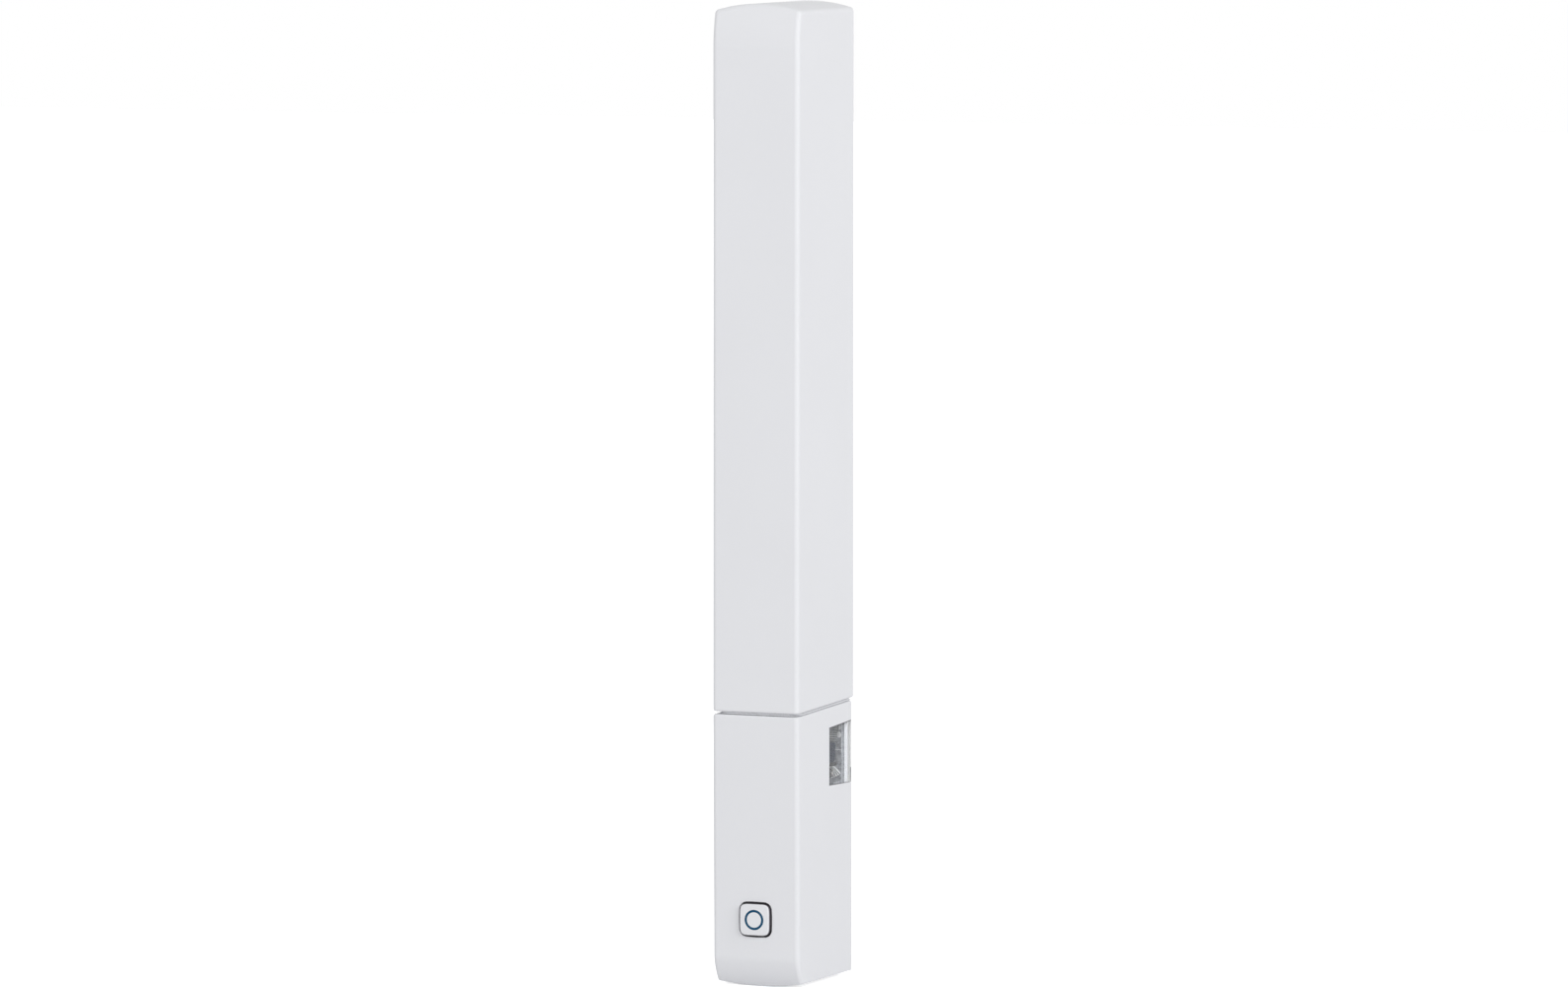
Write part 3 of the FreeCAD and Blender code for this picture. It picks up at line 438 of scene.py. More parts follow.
# %% [markdown]
# ## Key face
# On the real key a thin white plate sits on a dark core. Its outline is a square whose sides
# swell, which is what the curve |x|^n + |z|^n = 1 gives for an n of about six. A box with a
# bevel would keep straight sides; here the same curve is shrunk towards the middle, row by row,
# and each row is set back a little: hardly at all over the face, and along a quarter circle at
# the rim, where the studio light is caught.

# %% Key face and its ring
face_low, face_high = (Vector(corner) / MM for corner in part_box("key_face"))
KEY_MIDDLE = (face_low + face_high) / 2
SQUIRCLE = 5.8
FACE_CROWN = 0.035
FACE_RIM = 0.16


def superellipse(angle, power):
    """How far the curve |x|^n + |z|^n = 1 is from its middle at an angle:
    (|cos|^n + |sin|^n)^(-1/n)."""
    return (np.abs(np.cos(angle)) ** power + np.abs(np.sin(angle)) ** power) ** (-1 / power)


def squircle_plate(half, front, back, count=160):
    """Shrunk copies of a superellipse: the setback is crown times the squared share of the
    half width, and a quarter circle of the rim's radius joins it to the straight side."""
    angle = around(count)
    reach = superellipse(angle, SQUIRCLE)
    inner = np.linspace(0, half - FACE_RIM, 12)
    bend = np.linspace(0, math.pi / 2, 9)
    radius = np.concatenate([inner, half - FACE_RIM + FACE_RIM * np.sin(bend), [half, 0]])
    setback = np.concatenate([
        FACE_CROWN * (inner / half) ** 2,
        FACE_CROWN + FACE_RIM * (1 - np.cos(bend)),
        [front - back, front - back],
    ])
    grid = np.empty((len(radius), count, 3))
    grid[..., 0] = radius[:, None] * reach * np.cos(angle)
    grid[..., 1] = -(front - setback)[:, None]
    grid[..., 2] = KEY_MIDDLE[2] + radius[:, None] * reach * np.sin(angle)
    return grid


face_front = -face_low.y
face_half = face_high.x
make_piece("key_plate", [squircle_plate(face_half, face_front, -face_high.y)],
           shell_white, "button", ["key_face"])

ring_low, ring_high = (Vector(corner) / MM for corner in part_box("key_ring"))
RING_STROKE = 0.38
ring_middle = ring_high.x - RING_STROKE / 2
ring_bed = FACE_CROWN * (ring_middle / face_half) ** 2


def printed_ring(thickness=0.02, steps=12):
    """A flat oval swept round a circle: the rows go once round the oval."""
    turn = np.linspace(0, FULL_TURN, steps, endpoint=False)
    profile = np.stack([
        ring_middle + RING_STROKE / 2 * np.cos(turn),
        -(face_front - ring_bed) + thickness * np.sin(turn),
    ], axis=-1)
    return lathe(profile, (0, 0, KEY_MIDDLE[2]), axis=1, count=96)


make_piece("ring_mark", [printed_ring()], mark_blue, "button", ["key_ring"], wraps=True)


# %% [markdown]
# ## Cells
# The two cells are bought parts: a drawn steel can, a seal pressed into its top under a small
# cap, and a shrunk film sleeve that folds over both ends. All of it is round about one axis, so
# each is a profile turned on a lathe. The profile is written as its few real corners, and every
# corner is bent a little, because none is sharp on pressed steel.

# %% Cells
CELL_AXIS = (0.0, -13.65, 0.0)
CELL_RADIUS = 5.25
FOLD = 0.9
FILM_WALL = 0.12
CAP_RISE = 1.0


def cell_can(bottom, top):
    """Steel parts: the bottom plate, the shoulder under the film and the small top cap."""
    shoulder = top - CAP_RISE
    wall = CELL_RADIUS - FILM_WALL
    return softened([
        (0, bottom + 0.12), (2.6, bottom + 0.12), (2.9, bottom), (3.9, bottom),
        (wall, bottom + 0.6), (wall, shoulder - 0.7),
        (4.2, shoulder - 0.06), (3.5, shoulder - 0.06), (3.3, shoulder - 0.35),
        (1.95, shoulder - 0.35), (1.9, top), (0, top),
    ], 0.25)


def cell_film(bottom, top):
    """The sleeve: a thin wall over the side whose edges fold over both ends."""
    shoulder = top - CAP_RISE
    inside = CELL_RADIUS - FOLD
    return softened([
        (inside, bottom + 0.06), (inside, bottom + 0.01), (CELL_RADIUS - 0.35, bottom + 0.03),
        (CELL_RADIUS, bottom + 0.55), (CELL_RADIUS, shoulder - 0.55),
        (CELL_RADIUS - 0.35, shoulder - 0.04), (inside, shoulder), (inside, shoulder - 0.05),
    ], 0.3)


def cell_seal(top):
    """The dark ring of plastic round the small cap."""
    level = top - 1.3
    return softened([(1.85, level - 0.1), (1.95, level), (3.3, level), (3.4, level - 0.1)], 0.05)


for place in ("lower", "upper"):
    low, high = (Vector(corner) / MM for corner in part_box(f"{place}_cell"))
    can = lathe(cell_can(low.z, high.z), CELL_AXIS, 2, 96)
    film = lathe(cell_film(low.z, high.z), CELL_AXIS, 2, 96)
    seal = lathe(cell_seal(high.z), CELL_AXIS, 2, 96)
    make_piece(f"{place}_cell_can", [can], zinc, "base", [f"{place}_cell"])
    make_piece(f"{place}_cell_film", [film], sleeve_film, "base", [f"{place}_cell"])
    make_piece(f"{place}_cell_seal", [seal], core_dark, "base")


# %% [markdown]
# ## Springs
# A cell is pressed home by a conical spring of half-millimetre wire. Its end turns lie flat and
# the turns between them climb, so the height isn't a straight line: it waits, climbs and waits.
# The wire itself is a circle carried along that path, set up from two directions at each step,
# one outwards and one square to both the wire and that.

# %% Springs
WIRE = 0.25
SPRING_TURNS = 4.0
FLAT_SHARE = 0.2
CLIMB_SHARE = 0.6
END_TAPER = 400


def spring(bottom, top, base_radius=3.3, tip_radius=2.0, steps=420, count=14):
    """Path: radius falls evenly with the angle, height follows 3s^2 - 2s^3 between flat ends.
    Around it: wire radius times (cosine outwards + sine upwards), closed to a point by a high
    even power of the share at both ends."""
    share = np.linspace(0, 1, steps)[:, None]
    angle = FULL_TURN * SPRING_TURNS * share
    climb = np.clip((share - FLAT_SHARE) / CLIMB_SHARE, 0, 1)
    climb = climb ** 2 * (3 - 2 * climb)
    radius = base_radius + (tip_radius - base_radius) * share
    height = bottom + WIRE + (top - bottom - 2 * WIRE) * climb
    path = np.concatenate([radius * np.cos(angle), radius * np.sin(angle), height], axis=1)
    ahead = np.gradient(path, axis=0)
    ahead /= np.linalg.norm(ahead, axis=1, keepdims=True)
    outwards = np.concatenate([np.cos(angle), np.sin(angle), 0 * angle], axis=1)
    upwards = np.cross(ahead, outwards)
    upwards /= np.linalg.norm(upwards, axis=1, keepdims=True)
    side = np.cross(upwards, ahead)
    turn = around(count)[..., None]
    thin = np.sqrt(np.clip(1 - np.linspace(-1, 1, steps) ** END_TAPER, 0, 1))[:, None, None]
    ring = thin * WIRE * (np.cos(turn) * side[:, None] + np.sin(turn) * upwards[:, None])
    return path[:, None] + ring + np.array([0, CELL_AXIS[1], 0])


for place in ("lower", "upper"):
    low, high = (Vector(corner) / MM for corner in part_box(f"{place}_spring"))
    make_piece(f"{place}_coil", [spring(low.z, high.z)], nickel, "base",
               [f"{place}_spring"], crease=60)


# %% [markdown]
# ## Screws
# Small self-cutting screws hold the board and the housing. A screw is one surface: from the
# middle of the head outwards, down its side, under it, along the thread and to the tip. The
# cross recess is pressed into the head by lowering the points that lie near either of two
# crossed lines, and the thread comes from letting the radius rise and fall once per pitch while
# it turns.

# %% Screws
PITCH = 0.6
CROSS_ARM = 0.85
CROSS_HALF_WIDTH = 0.16
CROSS_DEPTH = 0.55
HEAD_DOME = 0.28
CORE_SHARE = 0.78
THREAD_SHARE = 0.22
THREAD_ROWS = 90
UNDER_HEAD = 0.15


def screw(x, z, head_top, tip, head_radius=1.55, shank_radius=0.8, head_height=0.8, count=96):
    """Rows run along the profile. The recess lowers a point by its depth times how far it is
    inside the arms; the thread radius is core plus height of a triangle wave of place and angle."""
    inward = math.copysign(1, tip - head_top)
    angle = around(count)
    head = np.linspace(0, head_radius, 30)[:, None]
    across = head * np.cos(angle)
    along = head * np.sin(angle)
    nearest = np.minimum(np.abs(across), np.abs(along))
    furthest = np.maximum(np.abs(across), np.abs(along))
    dome = HEAD_DOME * (head / head_radius) ** 3
    inside = 1 / (1 + np.exp((nearest - CROSS_HALF_WIDTH) / 0.02))
    recess = inside * np.clip((CROSS_ARM - furthest) / 0.35, 0, 1) * CROSS_DEPTH
    head_rows = np.stack([across, along, np.broadcast_to(dome, across.shape) + recess], axis=-1)
    length = abs(tip - head_top)
    side = softened([(head_radius, HEAD_DOME), (head_radius, head_height),
                     (shank_radius, head_height), (shank_radius, head_height + UNDER_HEAD)], 0.1)
    down = np.linspace(head_height + UNDER_HEAD, length - 0.5, THREAD_ROWS)
    shank = np.concatenate([side[:, 1], down, [length - 0.15, length, length]])[:, None]
    thread_core = np.full(THREAD_ROWS, shank_radius * CORE_SHARE)
    core = np.concatenate([side[:, 0], thread_core, [0.42, 0.2, 0]])[:, None]
    cut = np.concatenate([0 * side[:, 0], np.ones(THREAD_ROWS), [0, 0, 0]])[:, None]
    wave = np.abs(((shank / PITCH - angle / FULL_TURN) % 1) - 0.5) * 2
    radius = core + cut * shank_radius * THREAD_SHARE * np.clip(1.6 * wave - 0.6, 0, 1)
    shank_rows = np.stack([radius * np.cos(angle), radius * np.sin(angle),
                           np.broadcast_to(shank, radius.shape)], axis=-1)
    rows = np.concatenate([head_rows, shank_rows])
    return np.stack([x + rows[..., 0], head_top + inward * rows[..., 2], z + rows[..., 1]], axis=-1)


for name in ("board_screw_low", "board_screw_high", "housing_screw"):
    low, high = (Vector(corner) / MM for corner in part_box(name))
    middle = (low + high) / 2
    top, tip = (high.y, low.y) if name == "housing_screw" else (low.y, high.y)
    make_piece(f"{name}_cross", [screw(middle.x, middle.z, top, tip)], zinc, "base",
               [name], crease=50)


# %% [markdown]
# ## Wires, beads and small blocks
# What is left needs two more shapes. A lead, a rib or a bead of adhesive is an oval carried
# along a path: the path's corners are bent as on the lathe and walked in even steps, so that its
# faces stay alike. A small moulded block is a superellipse carried along one axis, with its rim
# rounded at both ends. A cube with a Bevel modifier would do for the block too, but the grid
# keeps its swollen sides and needs no modifier.

# %% Wires, beads and blocks
def bent(corners, radius=0.2, spacing=0.08, steps=7):
    """A path in space whose corners are bent as on a lathe profile, in even steps."""
    rough = softened(corners, radius, steps)
    step = np.linalg.norm(np.diff(rough, axis=0), axis=1)
    reach = np.concatenate([[0], np.cumsum(step)])
    even = np.linspace(0, reach[-1], max(int(reach[-1] / spacing), 2) + 1)
    return np.stack([np.interp(even, reach, rough[:, axis]) for axis in range(3)], axis=-1)


def bead(path, side, half_wide, half_high, count=12):
    """An oval carried along a path: point + half_wide cos(turn) across + half_high sin(turn)
    along the side. Both halves may change along the path, and a point closes each end."""
    ahead = np.gradient(path, axis=0)
    ahead /= np.linalg.norm(ahead, axis=1, keepdims=True)
    side = np.broadcast_to(np.array(side, float), path.shape)
    across = np.cross(ahead, side)
    across /= np.linalg.norm(across, axis=1, keepdims=True)
    turn = around(count)[..., None]
    wide = np.broadcast_to(half_wide, len(path))[:, None, None]
    high = np.broadcast_to(half_high, len(path))[:, None, None]
    rings = path[:, None] + wide * np.cos(turn) * across[:, None]
    rings = rings + high * np.sin(turn) * side[:, None]
    tips = np.broadcast_to(path[[0, -1]][:, None], (2, count, 3))
    return np.concatenate([tips[:1], rings, tips[1:]])


def cushion(low, high, axis, squareness=5.0, rim=0.1, count=48):
    """A block between two corners: its outline across the axis is the superellipse with the
    given exponent, and quarter circles of the rim's radius join it to both end faces."""
    low = np.array(low, float)
    high = np.array(high, float)
    half = (high - low) / 2
    middle = low + half
    first, second = [other for other in range(3) if other != axis]
    angle = around(count)
    reach = superellipse(angle, squareness)
    bend = np.linspace(0, math.pi / 2, 6)
    to_middle = [half.max()]
    inset = np.concatenate([to_middle, rim * (1 - np.sin(bend)), rim * (1 - np.cos(bend)),
                            to_middle])[:, None]
    along = np.concatenate([[low[axis]], low[axis] + rim * (1 - np.cos(bend)),
                            high[axis] - rim * (1 - np.sin(bend)), [high[axis]]])
    wide = np.maximum(half[first] - inset, 0)
    tall = np.maximum(half[second] - inset, 0)
    grid = np.empty((len(along), count, 3))
    grid[..., first] = middle[first] + wide * reach * np.cos(angle)
    grid[..., second] = middle[second] + tall * reach * np.sin(angle)
    grid[..., axis] = along[:, None]
    return grid


# %% [markdown]
# ## Print on the cells
# A bought cell carries its polarity. A pale band is wrapped round the plus end, and two plain
# signs are printed on the side that faces the cap. Flat print would need a picture; a raised
# film a hundredth of a millimetre thick keeps it in the mesh, and its paths follow the round
# side, so that nothing stands off.

# %% Bands and signs
PRINT = 0.012
SIGN_HALF = 1.1
SIGN_TURN = SIGN_HALF / CELL_RADIUS
SIGN_RISE = 1.4 * PRINT
SIGN_STROKE = 0.2
SIGN_INSET = 6
BAND_START = 9.5
BAND_END = 2.4


def level_bar(height):
    """Points at the film's radius, turned from one side of the front to the other."""
    turn = np.linspace(-SIGN_TURN, SIGN_TURN, 15)
    path = np.stack([CELL_RADIUS * np.sin(turn), CELL_AXIS[1] - CELL_RADIUS * np.cos(turn),
                     np.full(len(turn), height)], axis=-1)
    return bead(path, (0, 0, 1), SIGN_RISE, SIGN_STROKE, 10)


def upright_bar(height):
    """A straight bar at the front of the film."""
    climb = np.linspace(-SIGN_HALF, SIGN_HALF, 9)[:, None] * np.array([[0, 0, 1]])
    path = np.array([(0, CELL_AXIS[1] - CELL_RADIUS, height)]) + climb
    return bead(path, (1, 0, 0), SIGN_RISE, SIGN_STROKE, 10)


for place in ("lower", "upper"):
    low, high = (Vector(corner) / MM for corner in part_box(f"{place}_cell"))
    outer = CELL_RADIUS + PRINT
    start, end = high.z - BAND_START, high.z - BAND_END
    band = lathe([(outer - 0.05, start), (outer, start), (outer, end), (outer - 0.05, end)],
                 CELL_AXIS, 2, 96)
    signs = [level_bar(high.z - SIGN_INSET), upright_bar(high.z - SIGN_INSET)]
    make_piece(f"{place}_cell_band", [band], band_pale, "base", wraps=True)
    make_piece(f"{place}_cell_plus", signs, chip_black, "base")
    make_piece(f"{place}_cell_minus", [level_bar(low.z + SIGN_INSET)], band_pale, "base")

# %% [markdown]
# ## Small parts on the board
# Between the large parts sit chip resistors and capacitors: a ceramic body between two tinned
# ends, all of one size. One function makes a block from its middle, so a whole board is a list
# of places. The pads that look out from under the black chip are rows of the same blocks.

# %% Chip parts and pads
BOARD_FACE = -6.5
CHIP_BODY = (0.7, 0.48, 0.34)
CHIP_END = (0.26, 0.52, 0.37)
CHIP_END_SHIFT = 0.42
PAD = (0.5, 0.26, 0.1)
PAD_ROW = np.linspace(-1.75, 1.75, 8)
# Each entry is x, z and whether the part stands upright.
CHIP_PARTS = [
    (0.3, -43.3, True), (1.6, -43.3, True), (2.9, -43.3, False), (2.9, -44.4, False),
    (0.9, -45.0, False), (0.2, -53.0, True), (1.5, -53.0, True), (2.8, -53.0, True),
    (3.9, -53.0, True), (-3.2, -52.2, False), (-3.2, -53.3, False), (3.95, -47.6, True),
    (3.95, -50.2, True), (-3.5, -61.6, True), (-3.5, -63.6, True), (3.4, -61.6, True),
    (3.4, -63.6, True),
]


def board_block(x, z, size, upright, rim=0.05):
    """A cushion on the board whose sides are swapped when it stands upright."""
    wide, tall, high = size
    across, along = (tall, wide) if upright else (wide, tall)
    return cushion((x - across / 2, BOARD_FACE - high, z - along / 2),
                   (x + across / 2, BOARD_FACE + 0.02, z + along / 2), 1, 7.0, rim, 20)


bodies = [board_block(x, z, CHIP_BODY, upright) for x, z, upright in CHIP_PARTS]
ends = []
for x, z, upright in CHIP_PARTS:
    for shift in (-CHIP_END_SHIFT, CHIP_END_SHIFT):
        aside, aloft = (0, shift) if upright else (shift, 0)
        ends.append(board_block(x + aside, z + aloft, CHIP_END, upright))
make_piece("chip_part_bodies", bodies, ceramic_tan, "base")
make_piece("chip_part_ends", ends, tin_can, "base")

chip_low, chip_high = (Vector(corner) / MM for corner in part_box("microcontroller"))
chip_middle = (chip_low + chip_high) / 2
chip_half = (chip_high.x - chip_low.x) / 2
pads = []
for step in PAD_ROW:
    for edge in (-chip_half - 0.02, chip_half + 0.02):
        pads.append(board_block(chip_middle.x + step, chip_middle.z + edge, PAD, True, 0.03))
        pads.append(board_block(chip_middle.x + edge, chip_middle.z + step, PAD, False, 0.03))
make_piece("chip_pads", pads, tin_can, "base")

# %% [markdown]
# ## Emitter
# Behind the window sit a moulded emitter with a domed lens and a receiver in a dark filter
# block. The emitter is a body turned about the direction it shines in, with two thin leads
# that bend down to the board. Inside the clear body a small cup holds the die.

# %% Emitter with its leads
EMITTER_RADIUS = 0.97
BARREL_RADIUS = 0.82
DOME_RISE = 0.87
emitter_low, emitter_high = (Vector(corner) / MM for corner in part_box("infrared_emitter"))
emitter_middle = (emitter_low + emitter_high) / 2
lens_start = emitter_high.x - EMITTER_RADIUS * 0.9
dome_turn = np.linspace(0, math.pi / 2, 14)
emitter_profile = np.vstack([
    [(0, emitter_low.x)],
    softened([(0.3, emitter_low.x), (EMITTER_RADIUS, emitter_low.x),
              (EMITTER_RADIUS, emitter_low.x + 0.4), (BARREL_RADIUS, emitter_low.x + 0.45),
              (BARREL_RADIUS, lens_start)], 0.06),
    np.stack([BARREL_RADIUS * np.cos(dome_turn), lens_start + DOME_RISE * np.sin(dome_turn)],
             axis=-1),
])
make_piece("emitter_lens", [lathe(emitter_profile, (0, emitter_middle.y, emitter_middle.z), 0)],
           guide_clear, "base", ["infrared_emitter"])
cup_profile = softened([(0, 2.5), (0.45, 2.5), (0.5, 2.9), (0.4, 2.9), (0.2, 2.65), (0, 2.65)], 0.02)
LEAD = 0.16
LEAD_START = 2.5
LEAD_BEND = 1.55


def emitter_lead(offset):
    """A thin lead: out of the body, round one bend and down to the board."""
    height = emitter_middle.z + offset
    path = bent([(LEAD_START, emitter_middle.y, height), (LEAD_BEND, emitter_middle.y, height),
                 (LEAD_BEND, emitter_low.y - 0.02, height)], 0.25)
    return bead(path, (0, 0, 1), LEAD, LEAD, 8)


emitter_leads = [emitter_lead(offset) for offset in (-0.45, 0.45)]
cup = lathe(cup_profile, (0, emitter_middle.y, emitter_middle.z), 0, 32)
make_piece("emitter_leads", [cup, *emitter_leads], nickel, "base")

# %% [markdown]
# ## Receiver
# The receiver is one of the small blocks from above, with a flat lens turned on the lathe on the
# side that looks out of the window. Its three leads leave it at the top and bend to the board.

# %% Receiver block with its lens and leads
receiver_low, receiver_high = (Vector(corner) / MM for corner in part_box("infrared_receiver"))
receiver_middle = (receiver_low + receiver_high) / 2
LENS_RISE = 0.12


def receiver_lens(radius=0.78):
    """A flat dome on the block's bright side: rise times (1 - (radius share)^2)."""
    share = np.linspace(0, 1, 10)
    foot = receiver_high.x - LENS_RISE - 0.02
    profile = np.stack([radius * share, foot + 0.02 + LENS_RISE * (1 - share ** 2)], axis=-1)
    profile = np.vstack([profile, [(radius, foot), (0, foot)]])
    return lathe(profile, (0, receiver_middle.y, receiver_middle.z), 0, 48)


def receiver_lead(x):
    """A lead that leaves the block upwards and bends down to the board."""
    above = receiver_high.z + 0.9
    path = bent([(x, receiver_middle.y, receiver_high.z - 0.2), (x, receiver_middle.y, above),
                 (x, receiver_low.y - 0.02, above)], 0.3)
    return bead(path, (1, 0, 0), LEAD, LEAD, 8)


block_high = (receiver_high.x - LENS_RISE, receiver_high.y, receiver_high.z)
receiver_block = cushion(receiver_low, block_high, 0, 5.5, 0.12)
make_piece("receiver_block", [receiver_block, receiver_lens()], filter_dark, "base",
           ["infrared_receiver"])
receiver_leads = [receiver_lead(x) for x in (2.6, 3.2, 3.8)]
make_piece("receiver_leads", receiver_leads, nickel, "base")

# %% [markdown]
# ## Fan of light ribs
# Below the receiver a moulded fan of bright ribs spreads the emitter's light over the window.
# Each rib is an oval carried along a short line from the hub, growing as it goes; the dark gaps
# between the ribs are simply the holder behind them. The same holder has two flattened stakes,
# a level rib and, above the receiver, a stack of thin level baffles.

# %% Fan, stakes and baffles on the holder
FAN_HUB = (3.5, -2.68, receiver_middle.z - 1.85)
FAN_START = 0.35
FAN_REACH = 2.15
FAN_ANGLES = np.linspace(-16, 46, 7)


def fan_rib(degrees):
    """A straight path at the given angle from straight down, towards the window."""
    turn = math.radians(degrees)
    share = np.linspace(0, 1, 12)[:, None]
    reach = FAN_START + (FAN_REACH - FAN_START) * share
    direction = np.array([[math.sin(turn), 0, -math.cos(turn)]])
    path = np.array(FAN_HUB) + reach * direction
    return bead(path, (0, -1, 0), 0.045 + 0.06 * share[:, 0], 0.33, 10)


fan_grids = [fan_rib(degrees) for degrees in FAN_ANGLES]
hub = lathe(softened([(0, -0.3), (0.45, -0.3), (0.45, 0), (0, 0)], 0.08), FAN_HUB, 1, 40)
make_piece("fan_ribs", [hub, *fan_grids], fan_white, "base", ["reflector_fan"])

holder_high = Vector(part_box("sensor_holder")[1]) / MM
HOLDER_FACE = -2.65
STAKE_RISE = 0.18


def stake(x, z, half_wide, half_tall):
    """The flattened head of a moulded stake that pins the holder to the plate behind it."""
    return cushion((x - half_wide, HOLDER_FACE - STAKE_RISE, z - half_tall),
                   (x + half_wide, HOLDER_FACE, z + half_tall), 1, 2.6, 0.08)


rib_height = receiver_middle.z + 0.25
rib_path = bent([(3.6, HOLDER_FACE, rib_height), (4.4, HOLDER_FACE, rib_height),
                 (holder_high.x, HOLDER_FACE, rib_height)])
holder_rib = bead(rib_path, (0, -1, 0), 0.05, 0.14, 8)
stakes = [stake(4.8, holder_high.z - 2.1, 0.3, 0.45), stake(4.86, holder_high.z - 0.95, 0.18, 0.3)]
make_piece("holder_stakes", [holder_rib, *stakes], fan_white, "base")
BAFFLE_START = 3.0
BAFFLE_LENGTH = 1.45
baffle_heights = np.linspace(receiver_high.z + 0.15, holder_high.z - 0.6, 8)


def baffle(height):
    """A thin level rib on the holder, above the receiver."""
    share = np.linspace(0, 1, 10)[:, None]
    path = np.array([(BAFFLE_START, HOLDER_FACE, height)]) + share * np.array([[BAFFLE_LENGTH, 0, 0]])
    return bead(path, (0, -1, 0), 0.045, 0.3, 8)


baffles = [baffle(height) for height in baffle_heights]
make_piece("holder_baffles", baffles, fan_white, "base")

# %% [markdown]
# ## Bead round the window
# The window is stuck into its opening with a dark adhesive that shows as a thin line along its
# edges. Its dark colour and width are partly a real bead and partly painted shade of the narrow
# gap round the glass. Lines drawn on the material would end at the edge of the plate; a real bead
# of oval section also catches a little light. It is carried along the top, front and lower edges
# and a short way up the rear one, and it is thickest at the top and at the rear.

# %% Window bead
window_low, window_high = (Vector(corner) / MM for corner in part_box("sensor_window"))
FLANGE = 0.7
FLARE_TOP = 0.45
FLARE_BASE = 0.27
BEAD_TOP = 0.085
BEAD_FRONT = 0.06
BEAD_BASE = 0.03
BEAD_REAR = 0.09
BEAD_HALF_DEPTH = 0.05
REAR_LENGTH = 1.9
WINDOW_FACE = window_high.x
window_front = window_low.y + FLANGE
window_rear = window_high.y - 0.05
window_top = window_high.z - FLANGE - FLARE_TOP
window_base = window_low.z + FLANGE + FLARE_BASE


def window_edge(start, end, half_wide):
    """A straight bead between two points of the window's edge, given as (y, z)."""
    share = np.linspace(0, 1, 24)[:, None]
    ends = np.array([(WINDOW_FACE, *start), (WINDOW_FACE, *end)])
    path = ends[0] + share * (ends[1] - ends[0])
    return bead(path, (1, 0, 0), half_wide, BEAD_HALF_DEPTH, 10)


top_rear = (window_rear, window_top + FLARE_TOP)
top_front = (window_front, window_top)
base_front = (window_front, window_base)
base_rear = (window_rear, window_base - FLARE_BASE)
edges = [
    window_edge(top_rear, top_front, BEAD_TOP),
    window_edge(top_front, base_front, BEAD_FRONT),
    window_edge(base_front, base_rear, BEAD_BASE),
    window_edge(base_rear, (window_rear, window_base + REAR_LENGTH), BEAD_REAR),
]
# The bead is partly real adhesive and partly painted shade of the gap round the window.
make_piece("window_bead", edges, adhesive_and_gap_shade, "base")

# %% [markdown]
# ## Seal in the seam
# Between cap and lower housing runs a narrow groove. A soft white lip on the collar fills most
# of its depth, so the groove reads as a thin grey line and not as a black gap. Its path is the
# housing's rim moved inwards, and it climbs a little towards the back as the rim does. In front
# and on the right the lip reaches nearly to the surface. On the left it stays further in, which
# leaves the notch that the outline shows there.

# %% Seam seal
housing_low, housing_high = (Vector(corner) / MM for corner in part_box("lower_housing"))
SEAM_RISE = 0.75
LIP_ROOT = 1.5
LIP_EDGE_LEFT = 0.82
LIP_EDGE_FRONT = 0.22
LIP_EDGE_RIGHT = 0.04
LIP_BEND = 1.3
LIP_CHANGE = 1.5
LIP_HALF_HEIGHT = 0.18
GROOVE = 0.4
rim_front = housing_high.z - SEAM_RISE


def seam_lip():
    """A rounded U through four corners, halfway between the lip's root and its edge, whose
    height grows evenly with the way to the back; the lip's half width goes with the side."""
    left = housing_low.x + (LIP_ROOT + LIP_EDGE_LEFT) / 2
    right = housing_high.x - (LIP_ROOT + LIP_EDGE_RIGHT) / 2
    front = housing_low.y + (LIP_ROOT + LIP_EDGE_FRONT) / 2
    rear = housing_high.y - 0.3
    corners = [(left, rear, 0), (left, front, 0), (right, front, 0), (right, rear, 0)]
    path = bent(corners, LIP_BEND, 0.25)
    depth_share = (path[:, 1] - housing_low.y) / (housing_high.y - housing_low.y)
    path[:, 2] = rim_front + GROOVE / 2 + SEAM_RISE * depth_share
    edges = np.interp(path[:, 0], [left, left + LIP_CHANGE, right - LIP_CHANGE, right],
                      [LIP_EDGE_LEFT, LIP_EDGE_FRONT, LIP_EDGE_FRONT, LIP_EDGE_RIGHT])
    return bead(path, (0, 0, 1), (LIP_ROOT - edges) / 2, LIP_HALF_HEIGHT, 14)


make_piece("seam_seal", [seam_lip()], frame_white, "base")


# %% [markdown]
# ## Studio
# The picture has a clean white ground and soft light from everywhere, a little more from the
# right, which draws a thin bright line along the near edge. The floor stays an ordinary matt
# surface that takes the object's shadow; for the camera it also glows a little, so that it
# reads as white without more light on the object.

# %% Floor and world
FLOOR_SIZE = 6.0
FLOOR_GLOW = 0.72
WORLD_LIGHT = 0.62


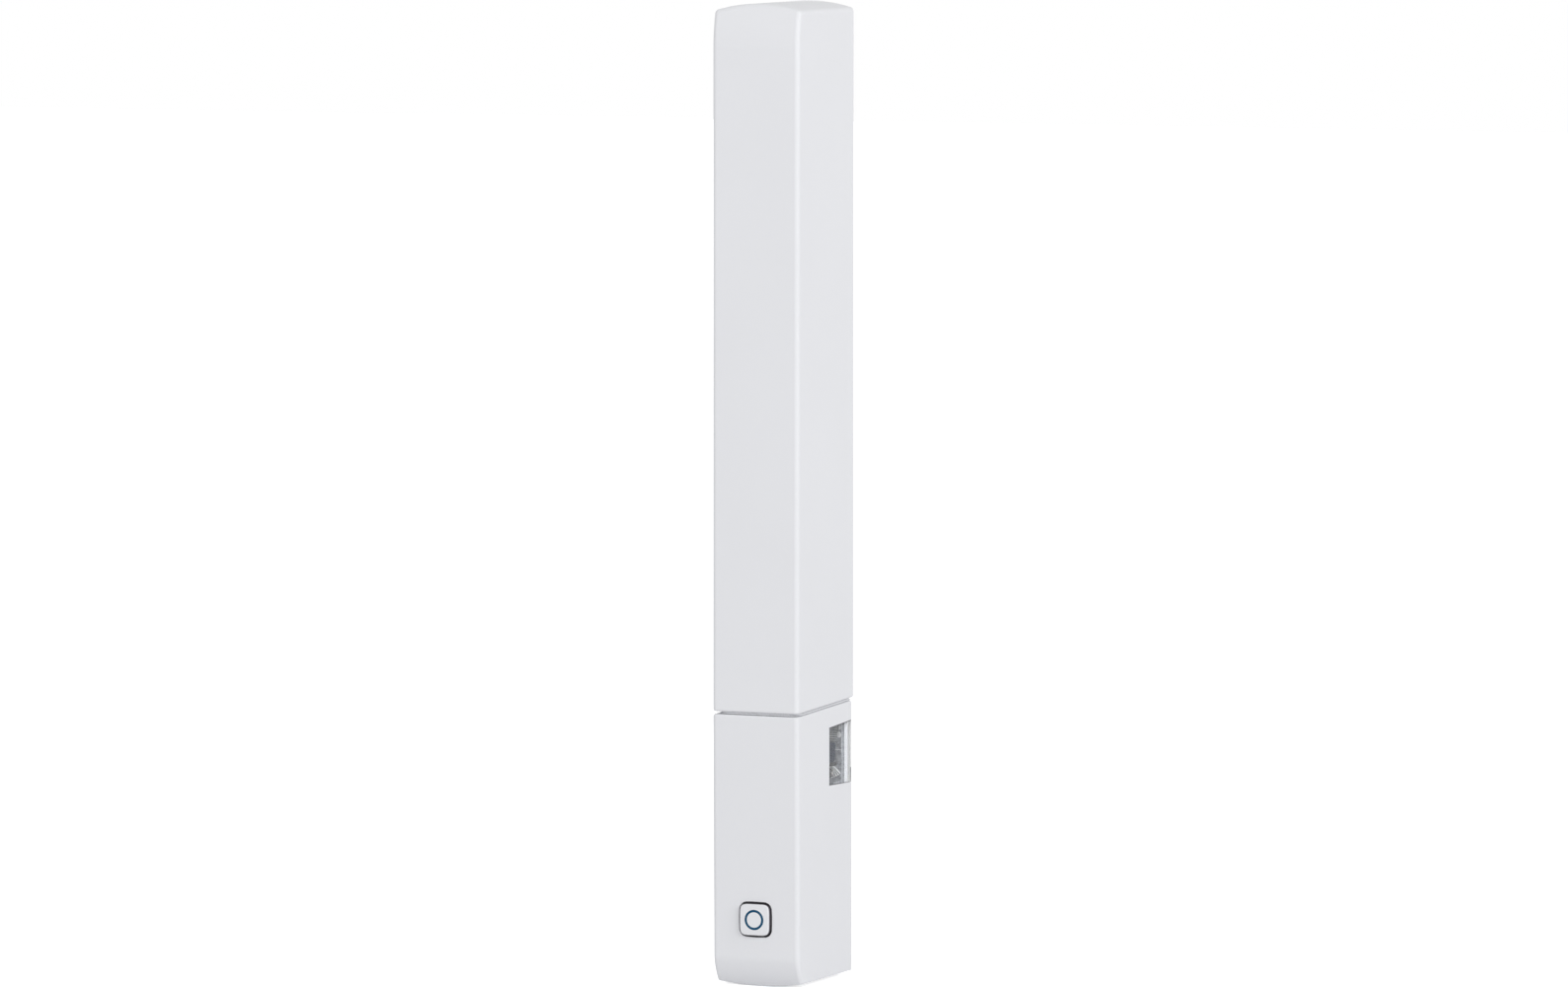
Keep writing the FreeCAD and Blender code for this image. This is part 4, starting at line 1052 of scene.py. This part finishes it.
def make_floor():
    """A matt square under the object that glows for the camera only."""
    half = FLOOR_SIZE / 2
    level = cad_low.z
    corners = [(-half, -half, level), (half, -half, level), (half, half, level), (-half, half, level)]
    mesh = bpy.data.meshes.new("floor")
    mesh.from_pydata(corners, [], [(0, 1, 2, 3)])
    floor = bpy.data.objects.new("floor", mesh)
    bpy.context.scene.collection.objects.link(floor)
    made, tree, shader = finish("floor_white")
    shader.inputs["Base Color"].default_value = (0.85, 0.85, 0.86, 1)
    shader.inputs["Roughness"].default_value = 0.9
    shader.inputs["Specular IOR Level"].default_value = 0.1
    shader.inputs["Emission Color"].default_value = (1, 1, 1, 1)
    ray = tree.nodes.new("ShaderNodeLightPath")
    glow = spread(tree, ray.outputs["Is Camera Ray"], 0, FLOOR_GLOW)
    link(tree, glow, shader.inputs["Emission Strength"])
    mesh.materials.append(made)
    print("floor at", round(level / MM, 2), "mm")


def either_of(tree, first, second):
    """The larger of two numbers, which means "or" for marks that are 0 or 1."""
    larger = tree.nodes.new("ShaderNodeMath")
    larger.operation = "MAXIMUM"
    link(tree, first, larger.inputs[0])
    link(tree, second, larger.inputs[1])
    return larger.outputs["Value"]


def make_world(level):
    """Even light for the object, and plain white wherever the ground behind it is seen."""
    world = bpy.data.worlds.new("studio")
    bpy.context.scene.world = world
    world.use_nodes = True
    tree = world.node_tree
    ray = tree.nodes.new("ShaderNodeLightPath")
    seen = either_of(tree, ray.outputs["Is Camera Ray"], ray.outputs["Is Glossy Ray"])
    seen = either_of(tree, seen, ray.outputs["Is Transmission Ray"])
    background = tree.nodes["Background"]
    link(tree, spread(tree, seen, level, 1), background.inputs["Strength"])
    background.inputs["Color"].default_value = (1, 1, 1, 1)
    print("world light:", level)


make_floor()
make_world(WORLD_LIGHT)


# %% [markdown]
# ## Lamps
# Two large square lamps do the rest. One stands far round to the right and draws the bright
# line on the near edge. The other, weaker and wider, stands in front and a little to the left,
# and keeps the front from going flat. A lamp's place is given as a turn and a rise round the
# object, as for the camera, because that is how a lamp is moved in a studio.

# %% Lamps
def softbox(name, turn, rise, distance, size, power):
    """A square lamp on a sphere round the object, facing its middle."""
    data = bpy.data.lights.new(name, "AREA")
    data.size = size
    data.energy = power
    lamp = bpy.data.objects.new(name, data)
    away = Vector((
        math.sin(math.radians(turn)) * math.cos(math.radians(rise)),
        -math.cos(math.radians(turn)) * math.cos(math.radians(rise)),
        math.sin(math.radians(rise)),
    ))
    lamp.location = away * distance
    lamp.rotation_euler = away.to_track_quat("Z", "Y").to_euler()
    bpy.context.scene.collection.objects.link(lamp)
    print(f"{name}: {power} W from", [round(v, 2) for v in lamp.location])


softbox("right_box", turn=66, rise=20, distance=1.4, size=0.7, power=8)
softbox("front_box", turn=-12, rise=22, distance=1.6, size=1.0, power=4.5)
